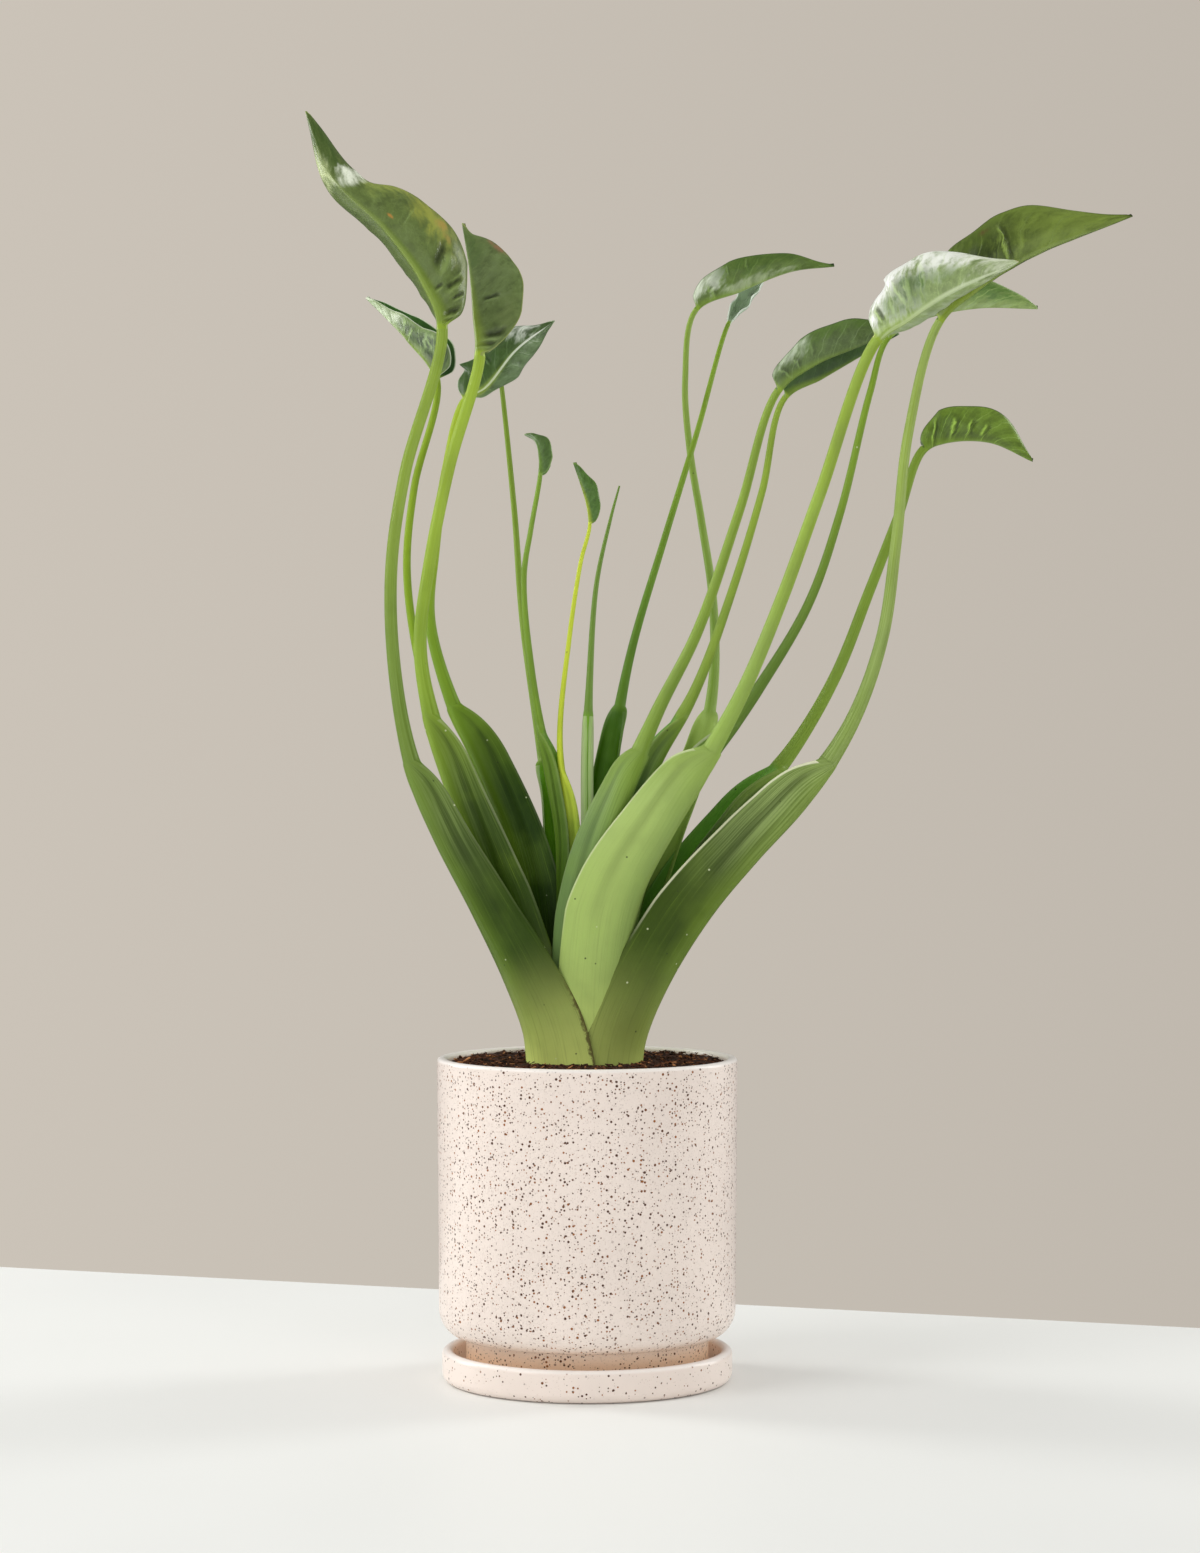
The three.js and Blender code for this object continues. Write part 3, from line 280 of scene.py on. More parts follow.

# Soft patches of colour on a blade, the near-white ones painted highlights for sheen: share, column,
# length along and across, display colour, strength.
PATCHES_AND_HIGHLIGHTS = {
    "01": [(0.3, 0.5, 0.5, 0.5, (84, 104, 50), 0.8), (0.88, -0.3, 0.14, 1.0, (62, 88, 30), 0.9),
           (0.62, -0.8, 0.08, 0.35, (156, 172, 78), 0.8), (0.72, -0.6, 0.045, 0.45, (236, 243, 222), 1.1),
           (0.44, -0.78, 0.14, 0.26, (160, 166, 66), 0.85), (0.4, -0.78, 0.025, 0.1, (196, 152, 66), 0.75),
           (0.35, -0.7, 0.02, 0.06, (190, 150, 76), 0.6), (0.8, 0.5, 0.07, 0.5, (204, 216, 160), 0.9),
           (0.25, -0.85, 0.14, 0.2, (132, 146, 74), 0.7), (0.53, -0.2, 0.012, 0.025, (214, 140, 60), 0.9)],
    "02": [(0.8, -0.1, 0.2, 0.4, (66, 92, 36), 0.7), (0.79, -0.86, 0.05, 0.2, (150, 106, 76), 0.85),
           (0.25, -0.8, 0.15, 0.3, (118, 134, 76), 0.5), (0.6, -0.5, 0.2, 0.3, (120, 138, 90), 0.4)],
    "13": [(0.32, 0.95, 0.44, 0.62, (250, 252, 248), 1.3), (0.72, 0.8, 0.25, 0.5, (244, 248, 238), 1.2),
           (0.46, 0.42, 0.15, 0.26, (92, 120, 62), 1.0), (0.26, 0.42, 0.09, 0.24, (118, 146, 84), 0.8),
           (0.92, 0.3, 0.1, 1.0, (224, 232, 204), 0.7), (0.4, -0.5, 0.5, 0.4, (176, 190, 160), 0.7),
           (0.66, 0.3, 0.1, 0.15, (120, 148, 84), 0.6)],
    "15": [(0.22, 0.8, 0.2, 0.3, (162, 184, 108), 0.9), (0.42, 0.52, 0.24, 0.44, (40, 56, 8), 1.2),
           (0.66, 0.3, 0.1, 0.2, (66, 84, 26), 0.8), (0.82, 0.4, 0.2, 1.0, (132, 154, 62), 0.8),
           (0.5, 0.85, 0.3, 0.25, (96, 118, 40), 0.6), (0.55, 0.8, 0.03, 0.06, (96, 62, 36), 0.7)],
    "04": [(0.8, 0.6, 0.1, 0.5, (236, 243, 230), 1.0), (0.35, 0.6, 0.3, 0.6, (56, 88, 34), 0.8),
           (0.5, -0.5, 0.5, 0.6, (126, 150, 108), 0.8)],
    "09": [(0.12, 0.75, 0.12, 0.5, (234, 242, 224), 0.9), (0.5, 0.8, 0.3, 0.4, (62, 92, 30), 0.7),
           (0.45, 0.15, 0.3, 0.14, (176, 190, 152), 0.8), (0.9, 0.4, 0.14, 1.0, (92, 122, 44), 0.6)],
    "11": [(0.55, 0.85, 0.4, 0.3, (86, 118, 40), 0.8), (0.2, 0.85, 0.14, 0.3, (190, 204, 176), 0.8),
           (0.4, -0.6, 0.4, 0.5, (70, 88, 52), 0.7), (0.12, 0.2, 0.12, 0.3, (70, 84, 60), 0.6)],
    "10": [(0.3, 0.5, 0.5, 1.0, (206, 222, 206), 0.8), (0.5, 0.0, 0.3, 0.3, (36, 70, 24), 0.9)],
    "03": [(0.4, -0.35, 0.26, 0.36, (66, 90, 52), 1.0), (0.1, -0.6, 0.12, 0.6, (54, 68, 56), 0.85),
           (0.65, -0.5, 0.2, 0.6, (214, 226, 196), 0.8)],
    "14": [(0.5, -0.4, 0.4, 0.6, (176, 194, 150), 0.8), (0.6, 0.7, 0.4, 0.4, (66, 116, 30), 0.8)],
    "16": [(0.3, 0.5, 0.16, 0.3, (66, 90, 32), 0.6), (0.6, 0.12, 0.3, 0.1, (56, 66, 34), 0.6)],
    "12": [(0.4, 0.3, 0.3, 0.4, (40, 60, 34), 0.6)],
}

# How strongly a blade's side veins show, with painted shade between them, and how deeply it is puckered
# between them.
PLAIN_VEINS = (0.2, 1.0)
VEINS = {"15": (0.35, 0.7), "16": (0.8, 1.4), "11": (0.5, 1.3), "09": (0.3, 1.2), "13": (0.22, 0.8),
         "03": (0.5, 1.0), "04": (0.4, 0.9), "14": (0.4, 1.0), "01": (0.1, 0.7), "02": (0.1, 0.7)}

# Display colour and strength of the line along a blade's midrib.
MIDRIBS = {"04": ((236, 242, 230), 0.95), "13": ((214, 228, 190), 0.75), "01": ((140, 156, 96), 0.35),
           "03": ((210, 222, 190), 0.5), "09": ((170, 186, 140), 0.5), "11": ((52, 66, 36), 0.6)}

# Strength of the pale line along the sheath's wing edges.
PALE_EDGES = {"15": 1.0, "13": 0.4, "02": 0.15, "14": 0.4, "05": 0.3, "08": 0.3}

# Share of painted highlight, a pale streaky green, towards the shoulder of a sheath.
SHOULDER_HIGHLIGHTS = {"15": 0.8, "11": 0.3, "13": 0.3, "01": 0.35, "02": 0.25, "03": 0.0, "04": 0.0,
                   "10": 0.0, "09": 0.5, "08": 0.4}


class Path:
    """A smooth line through points."""

    def __init__(self, points):
        self.points = [Vector(point) for point in points]

    def point(self, place):
        last = len(self.points) - 1
        spot = min(max(place, 0.0), 1.0) * last
        index = min(int(spot), last - 1)
        weight = spot - index
        one, two = self.points[index], self.points[index + 1]
        before = self.points[index - 1] if index > 0 else one * 2 - two
        after = self.points[index + 2] if index < last - 1 else two * 2 - one
        back, here, ahead = (math.sqrt(max((high - low).length, 1e-6))
                             for low, high in ((before, one), (one, two), (two, after)))
        slope_one = (one - before) * (here / back) - (two - before) * (here / (back + here)) + (two - one)
        slope_two = (two - one) - (after - one) * (here / (here + ahead)) + (after - two) * (here / ahead)
        square, cube = weight ** 2, weight ** 3
        return (one * (2 * cube - 3 * square + 1) + slope_one * (cube - 2 * square + weight)
                + two * (3 * square - 2 * cube) + slope_two * (cube - square))

    def tangent(self, place):
        step = 1e-4
        return (self.point(min(place + step, 1)) - self.point(max(place - step, 0))).normalized()


def mix(low, high, share):
    return low + (high - low) * share


def smooth(value, low, high):
    share = min(max((value - low) / (high - low), 0.0), 1.0)
    return share * share * (3 - 2 * share)


def deselect_all():
    if bpy.context.object and bpy.context.object.mode != "OBJECT":
        bpy.ops.object.mode_set(mode="OBJECT")
    bpy.ops.object.select_all(action="DESELECT")


def leaf_path(leaf):
    """The leaf's whole middle line, and the place on it where the blade starts."""
    if not leaf["midrib"]:
        return Path(leaf["stalk"]), 1.0
    points = leaf["stalk"][:-1] + leaf["midrib"]
    return Path(points), (len(leaf["stalk"]) - 1) / (len(points) - 1)


def place_at_height(path, height, top):
    low, high = 0.0, top
    for _ in range(30):
        middle = (low + high) / 2
        if path.point(middle).z < height:
            low = middle
        else:
            high = middle
    return (low + high) / 2


def wing_arc(leaf, share):
    foot, middle, top = leaf["wings"]
    return mix(foot, middle, share * 2) if share < 0.5 else mix(middle, top, share * 2 - 1)


RING = 64
SHEATH_ROWS = 64
STALK_ROWS = 56


def folded_wing(arc, turn, fold):
    """Sideways reach, depth and slope along a wing from keel to edge. It bends most near the keel."""
    steps = 32
    ease = arc / fold
    lateral, depth, rows = 0.0, 0.0, [(0.0, 0.0, 0.0)]

    def bend_at(step):
        return turn * (1 - math.exp(-ease * step / steps)) / (1 - math.exp(-ease))

    for step in range(steps):
        bend = bend_at(step + 0.5)
        lateral += math.cos(bend) * arc / steps
        depth += math.sin(bend) * arc / steps
        rows.append((lateral, depth, bend_at(step + 1)))
    return rows


def along_wing(rows, reach):
    spot = reach * (len(rows) - 1)
    index = min(int(spot), len(rows) - 2)
    return [mix(one, two, spot - index) for one, two in zip(rows[index], rows[index + 1])]


def stalk_section(leaf, path, place, share):
    """Points round one section of a sheath or stalk, and their places on the leaf."""
    centre = path.point(place)
    along = Vector((0, 0, 1)).lerp(path.tangent(place), smooth(share, 0, 0.2)).normalized()
    bearing = math.radians(leaf["keel"])
    inward = Vector((-math.cos(bearing), -math.sin(bearing), 0))
    inward = (inward - along * inward.dot(along)).normalized()
    sideways = along.cross(inward)
    climb = min(share, 1.0)
    above = max(share - 1, 0)
    stalk_radius = mix(leaf["radius"][0], leaf["radius"][1], above) * (1 + 0.3 * math.exp(-9 * above))
    keel_half = mix(1.8, stalk_radius, smooth(climb, 0.2, 1))
    rounding = max(climb - 0.84, 0) / 0.16
    winged = (1 - rounding ** 2.2) ** 0.7 if climb < 1 else 0.0
    arc = mix(stalk_radius, wing_arc(leaf, climb), winged)
    foot = leaf["stalk"][0]
    foot_turn = min(leaf["wings"][0] / math.hypot(foot[0] - CROWN_X, foot[1]), 1.4)
    turn = mix(foot_turn, 1.5, climb) * winged
    rows = folded_wing(arc, turn, mix(60, 4.5, smooth(climb, 0.2, 0.95)))
    points, places = [], []
    for side in range(RING):
        angle = side / RING * 2 * math.pi
        across = math.cos(angle)
        reach = abs(across)
        lateral, depth, bend = along_wing(rows, reach)
        up = math.sin(angle)
        thinning = smooth(reach * arc, 0.3 * stalk_radius, mix(12, 5.5, smooth(climb, 0.3, 1)))
        taper = mix(keel_half, WING_THICKNESS / 2, thinning)
        flat = math.copysign(taper * math.sqrt(abs(up)), up)
        offset = mix(keel_half * up, flat, winged)
        if up > 0:
            fade = winged * smooth(share, 0.3, 0.75) * (1 - reach ** 4)
            offset -= fade * 0.75 * math.exp(-((reach * arc - 1.9 * stalk_radius) / 1.6) ** 2)
            offset += fade * 0.12 * math.sin(reach * arc * 1.3)
        sign = math.copysign(1, across)
        point = centre + sideways * (sign * (lateral + offset * math.sin(bend)))
        point += inward * (depth - offset * math.cos(bend))
        points.append(point * MM)
        places.append((share, across, (1 - reach) * arc if winged > 0.3 else 9.0, 1.0 if up < 0 else 0.0))
    return points, places


BLADE_ROWS = 96
FACE_COLUMNS = 56


def blade_side(leaf, column):
    return leaf["near" if column < 0 or "far" not in leaf else "far"]


def blade_arc(leaf, share, column):
    """Arc from midrib to margin: a smooth line through the leaf's own measures."""
    rows = [(0.0, 1.5), *blade_side(leaf, column), (1.0, 0.35)]
    index = max(number for number, row in enumerate(rows[:-1]) if row[0] <= share)
    slopes = []
    for number in (index, index + 1):
        before, after = rows[max(number - 1, 0)], rows[min(number + 1, len(rows) - 1)]
        slopes.append((after[1] - before[1]) / (after[0] - before[0]))
    run = rows[index + 1][0] - rows[index][0]
    weight = (share - rows[index][0]) / run
    square, cube = weight ** 2, weight ** 3
    arc = rows[index][1] * (2 * cube - 3 * square + 1) + rows[index + 1][1] * (3 * square - 2 * cube)
    return max(arc + run * (slopes[0] * (cube - 2 * square + weight) + slopes[1] * (cube - square)), 0.35)


def blade_relief(leaf, share, column, arc):
    """How far the blade's skin stands in from below, in millimetres."""
    reach = abs(column)
    scale = blade_side(leaf, 1)[2][1] / 25 * VEINS.get(leaf["number"], PLAIN_VEINS)[1]
    lane = VEIN_COUNT * (share - VEIN_LEAN * reach) + (0.5 if column > 0 else 0)
    vein = 1 - abs(2 * (lane % 1) - 1)
    spread = math.sin(math.pi * min(reach * 1.05, 1)) * math.sin(math.pi * min(share * 1.15, 1)) ** 0.5
    spread *= min(arc / 18, 1)
    quilt = (vein ** 2 - 0.35) * 0.4 * spread * scale
    cell = Vector((share * 9, column * 3.1, float(leaf["number"])))
    quilt += noise.noise(cell) * 0.7 * spread * scale
    cell = Vector((share * 24, column * 5, float(leaf["number"]) + 0.5))
    quilt += abs(noise.noise(cell)) * 0.45 * spread * scale
    depth = -quilt
    for crease_share, crease_column, length, width, deep, slant in CREASES.get(leaf["number"], []):
        beside = (column - crease_column) / width
        ahead = (share - crease_share) / length + slant * beside + 0.3 * beside ** 2
        dip = math.exp(-ahead ** 2 - beside ** 4)
        lip = math.exp(-(ahead + 1.9) ** 2 - beside ** 4)
        depth += deep * (dip - 0.35 * lip)
    return depth


def blade_section(leaf, path, start, share):
    """Points round one section of a cupped blade, and their places on the leaf."""
    centre = path.point(mix(start, 1, share))
    along = path.tangent(mix(start, 1, share))
    opening = Vector(leaf["open"]).lerp(Vector(leaf.get("tip_open", leaf["open"])), smooth(share, 0.45, 0.8))
    opening = (opening - along * opening.dot(along)).normalized()
    sideways = along.cross(opening)
    root_rise, edge_rise = (math.radians(angle) for angle in leaf["rise"])
    spread = edge_rise - root_rise
    base_radius = leaf["radius"][1]
    rib_radius = mix(base_radius, 0.5, smooth(share, 0, 0.8) ** 0.7)
    roundness = 1 - smooth(share, 0, 0.05)
    points, places = [], []
    for step in range(FACE_COLUMNS * 2):
        turn = step / (FACE_COLUMNS * 2)
        upper = turn < 0.5
        linear = 4 * turn - 1 if upper else 3 - 4 * turn
        column = math.copysign(abs(linear) ** 1.5, linear)
        reach = abs(column)
        sign = math.copysign(1, column)
        arc = blade_arc(leaf, share, column)
        edge = mix(root_rise, edge_rise, reach)
        lateral = arc * (math.sin(edge) - math.sin(root_rise)) / spread
        lift = arc * (math.cos(root_rise) - math.cos(edge)) / spread
        wave = 0.8 * reach ** 2 * math.sin(share * 17 + column * 2) * math.sin(share * math.pi)
        facing = opening * math.cos(edge) - sideways * (sign * math.sin(edge))
        skin = centre + sideways * (sign * (lateral + wave)) + opening * lift
        skin += facing * blade_relief(leaf, share, column, arc)
        half = BLADE_THICKNESS / 2 * math.sqrt(max(1 - reach ** 6, 0))
        point = skin + facing * (half if upper else -half)
        run = reach * arc
        rib = 0.0
        if not upper:
            around = min(run / rib_radius, math.pi / 2)
            tube = centre + sideways * (sign * rib_radius * math.sin(around))
            tube -= opening * (rib_radius * math.cos(around))
            rib = 1 - smooth(run, 0.5 * rib_radius, 2.2 * rib_radius)
            point = point.lerp(tube, rib)
        else:
            point += opening * 0.7 * (1 - smooth(run, 0, 1.8 * rib_radius))
        round_angle = math.pi * (1 - 2 * turn)
        round_point = centre + sideways * (base_radius * math.cos(round_angle))
        round_point += opening * (base_radius * math.sin(round_angle))
        point = point.lerp(round_point, roundness)
        points.append(point * MM)
        places.append((share, column, (1 - reach) * arc, 1.0 if upper else 0.0,
                       rib * (1 - smooth(share, 0.2, 0.9))))
    return points, places


def sleeve(name, rings, places, extra):
    """A closed skin round a row of sections: a grid that is wrapped, welded and capped."""
    deselect_all()
    rows, columns = len(rings), len(rings[0])
    bpy.ops.mesh.primitive_grid_add(x_subdivisions=columns, y_subdivisions=rows - 1, size=1)
    piece = bpy.context.object
    piece.name = name
    piece.data.name = name
    mesh = piece.data
    if len(mesh.vertices) != rows * (columns + 1):
        raise RuntimeError(f"{name}: the grid has {len(mesh.vertices)} corners")
    flat = [value for ring in rings for point in (*ring, ring[0]) for value in point]
    mesh.vertices.foreach_set("co", flat)
    place = mesh.attributes.new("leaf_place", "FLOAT_VECTOR", "POINT")
    wrapped = [spot for row in places for spot in (*row, row[0])]
    place.data.foreach_set("vector", [value for spot in wrapped for value in spot[:3]])
    for index, attribute in enumerate(extra):
        layer = mesh.attributes.new(attribute, "FLOAT", "POINT")
        layer.data.foreach_set("value", [spot[3 + index] for spot in wrapped])
    bpy.ops.object.mode_set(mode="EDIT")
    bpy.ops.mesh.select_all(action="SELECT")
    bpy.ops.mesh.remove_doubles(threshold=1e-7)
    bpy.ops.mesh.select_all(action="SELECT")
    bpy.ops.mesh.fill_holes(sides=0)
    bpy.ops.mesh.select_all(action="SELECT")
    bpy.ops.mesh.normals_make_consistent(inside=False)
    bpy.ops.object.mode_set(mode="OBJECT")
    bpy.ops.object.shade_smooth_by_angle(angle=math.radians(60))
    return piece


def turned(name, profile, sides, filled):
    """A turned piece: a circle that is extruded and scaled from point to point of its profile."""
    deselect_all()
    radius, height = profile[0]
    bpy.ops.mesh.primitive_circle_add(vertices=sides, radius=radius, location=(0, 0, height),
                                      fill_type="NGON" if filled else "NOTHING")
    piece = bpy.context.object
    piece.name = name
    piece.data.name = name
    bpy.ops.object.transform_apply(location=True, rotation=True, scale=True)
    bpy.ops.object.mode_set(mode="EDIT")
    bpy.ops.mesh.select_all(action="SELECT")
    for next_radius, next_height in profile[1:]:
        bpy.ops.mesh.extrude_region_move(
            TRANSFORM_OT_translate={"value": (0, 0, next_height - height)})
        ratio = next_radius / radius
        bpy.ops.transform.resize(value=(ratio, ratio, 1), center_override=(0, 0, next_height))
        radius, height = next_radius, next_height
    bpy.ops.mesh.select_all(action="SELECT")
    bpy.ops.mesh.remove_doubles(threshold=1e-6)
    bpy.ops.mesh.normals_make_consistent(inside=False)
    bpy.ops.object.mode_set(mode="OBJECT")
    bpy.ops.object.shade_smooth_by_angle(angle=math.radians(50))
    return piece


def corner(centre, size, start, stop, steps):
    """Profile points on part of an ellipse, between two bearings in degrees."""
    angles = [math.radians(mix(start, stop, step / steps)) for step in range(steps + 1)]
    return [((centre[0] + size[0] * math.cos(angle)) * MM, (centre[1] + size[1] * math.sin(angle)) * MM)
            for angle in angles]


def straight(*points):
    return [(radius * MM, height * MM) for radius, height in points]


def display(red, green, blue):
    """A linear colour from 0 to 255 display values."""
    def linear(value):
        value /= 255
        return value / 12.92 if value <= 0.04045 else ((value + 0.055) / 1.055) ** 2.4
    return (linear(red), linear(green), linear(blue), 1.0)


def new_material(name):
    material = bpy.data.materials.new(name)
    material.use_nodes = True
    material.node_tree.nodes.clear()
    return material, material.node_tree


def add(tree, kind, inputs=None, **settings):
    """A node with its settings, its inputs and the links into them."""
    node = tree.nodes.new(kind)
    for key, value in settings.items():
        setattr(node, key, value)
    for key, value in (inputs or {}).items():
        if isinstance(value, bpy.types.NodeSocket):
            tree.links.new(value, node.inputs[key])
        else:
            node.inputs[key].default_value = value
    return node


def blend(tree, factor, one, two, kind="MIX"):
    node = tree.nodes.new("ShaderNodeMix")
    node.data_type = "RGBA"
    node.blend_type = kind
    for index, value in ((0, factor), (6, one), (7, two)):
        if isinstance(value, bpy.types.NodeSocket):
            tree.links.new(value, node.inputs[index])
        else:
            node.inputs[index].default_value = value
    return node.outputs[2]


def maths(tree, operation, one, two=0.0, clamp=False):
    node = add(tree, "ShaderNodeMath", {0: one, 1: two}, operation=operation)
    node.use_clamp = clamp
    return node.outputs[0]


def times(tree, one, two, clamp=False):
    return maths(tree, "MULTIPLY", one, two, clamp)


def plus(tree, one, two):
    return maths(tree, "ADD", one, two)


def minus(tree, one, two):
    return maths(tree, "SUBTRACT", one, two)


def size_of(tree, value):
    return maths(tree, "ABSOLUTE", value)


def tint(tree, colour, hue, mask, amount):
    """The colour turned towards a hue, as far as the mask and the amount say."""
    return blend(tree, times(tree, mask, amount), colour, hue)


def span(tree, value, low, high, out_low=0.0, out_high=1.0, kind="SMOOTHSTEP"):
    node = add(tree, "ShaderNodeMapRange", {0: value, 1: low, 2: high, 3: out_low, 4: out_high},
               interpolation_type=kind)
    return node.outputs[0]


def cloud(tree, vector, scale, detail=2.0, roughness=0.5):
    return add(tree, "ShaderNodeTexNoise", {"Vector": vector, "Scale": scale, "Detail": detail,
                                            "Roughness": roughness}).outputs["Fac"]


def mottle(tree, colour, layers):
    """Turns the colour towards each hue where its noise lies between two levels."""
    for hue, source, low, high, amount in layers:
        colour = tint(tree, colour, hue, span(tree, source, low, high), amount)
    return colour


def object_place(tree):
    return add(tree, "ShaderNodeTexCoord").outputs["Object"]


def axes(tree, vector):
    return add(tree, "ShaderNodeSeparateXYZ", {0: vector}).outputs


def leaf_axes(tree):
    """The mesh's own place on the leaf, whole and as share along, column across and way from the margin."""
    place = add(tree, "ShaderNodeAttribute", attribute_name="leaf_place").outputs["Vector"]
    return place, *axes(tree, place)


def scatter(tree, vector, scale):
    """Distance from the middle of scattered cells, and three random values of each cell."""
    cells = add(tree, "ShaderNodeTexVoronoi", {"Vector": vector, "Scale": scale}).outputs
    return cells["Distance"], add(tree, "ShaderNodeSeparateColor", {0: cells["Color"]}).outputs


def mark(tree, name):
    return add(tree, "ShaderNodeAttribute", attribute_name=name).outputs["Fac"]


def bump_at(tree, value, middle, width):
    """One near the middle value, falling smoothly to nothing at the width."""
    away = size_of(tree, minus(tree, value, middle))
    return span(tree, away, width, 0.0)


def shade(colour, factor, lift=0.0):
    return tuple(min(channel * factor + lift, 1.0) for channel in colour[:3]) + (1.0,)


def finish_material(tree, colour, roughness, bump_height, bump_distance, **settings):
    bump = add(tree, "ShaderNodeBump", {"Height": bump_height, "Distance": bump_distance})
    shader = add(tree, "ShaderNodeBsdfPrincipled", {"Base Color": colour, "Roughness": roughness,
                                                    "Normal": bump.outputs[0]})
    for key, value in settings.items():
        shader.inputs[key.replace("_", " ")].default_value = value
    add(tree, "ShaderNodeOutputMaterial", {"Surface": shader.outputs[0]})


def glaze_material(name, colour, density, speck_scale, top, foot):
    """Satin ceramic glaze with dark and brown specks of several sizes, a painted highlight along the top
    edge and painted warm shade towards the foot."""
    material, tree = new_material(name)
    place = object_place(tree)
    base = blend(tree, span(tree, cloud(tree, place, 26, 3), 0.35, 0.7), colour, shade(colour, 0.95))
    level = axes(tree, place)[2]
    # Painted shade: the glaze turns warmer and darker towards the foot, as strongly as foot says.
    base = tint(tree, base, display(246, 212, 180), span(tree, level, 0.026, 0.012), foot)
    crowd = span(tree, cloud(tree, place, 60, 2), 0.3, 0.7)
    height = None
    # of each kind of speck: scale of the cells, size in the cell, share of the cells, and strength
    kinds = ((speck_scale, 0.35, density, 1.0), (speck_scale * 1.5, 0.37, density * 0.75, 0.95),
             (speck_scale * 2.4, 0.4, density, 0.18))
    for index, (scale, size, share, strength) in enumerate(kinds):
        moved = add(tree, "ShaderNodeMapping", {"Vector": place, "Location": (index * 0.37, 0.11, 0.05)})
        away, parts = scatter(tree, moved.outputs[0], scale)
        chosen = span(tree, parts[0], 1 - share, 1 - share + 0.02, kind="LINEAR")
        chosen = times(tree, chosen, span(tree, plus(tree, crowd, parts[2]), 0.2, 0.5))
        radius = span(tree, parts[1], 0, 1, size * 0.55, size, kind="LINEAR")
        inside = minus(tree, radius, away)
        dot = times(tree, span(tree, inside, 0.0, 0.04), chosen)
        speck = blend(tree, span(tree, parts[2], 0.5, 0.95), display(78, 36, 2), display(152, 86, 16))
        base = tint(tree, base, speck, dot, strength)
        height = dot if height is None else plus(tree, height, dot)
    # Painted highlight: paler glaze along the top 2 mm of the rim.
    base = blend(tree, span(tree, level, top - 0.0018, top - 0.0006), base, display(250, 243, 238))
    grain = cloud(tree, place, 420, 2)
    bump = minus(tree, times(tree, grain, 0.35), times(tree, height, 0.5))
    finish_material(tree, base, span(tree, grain, 0.2, 0.8, 0.4, 0.5), bump, 0.0001,
                    Coat_Weight=0.4, Coat_Roughness=0.16, Specular_IOR_Level=0.4)
    return material


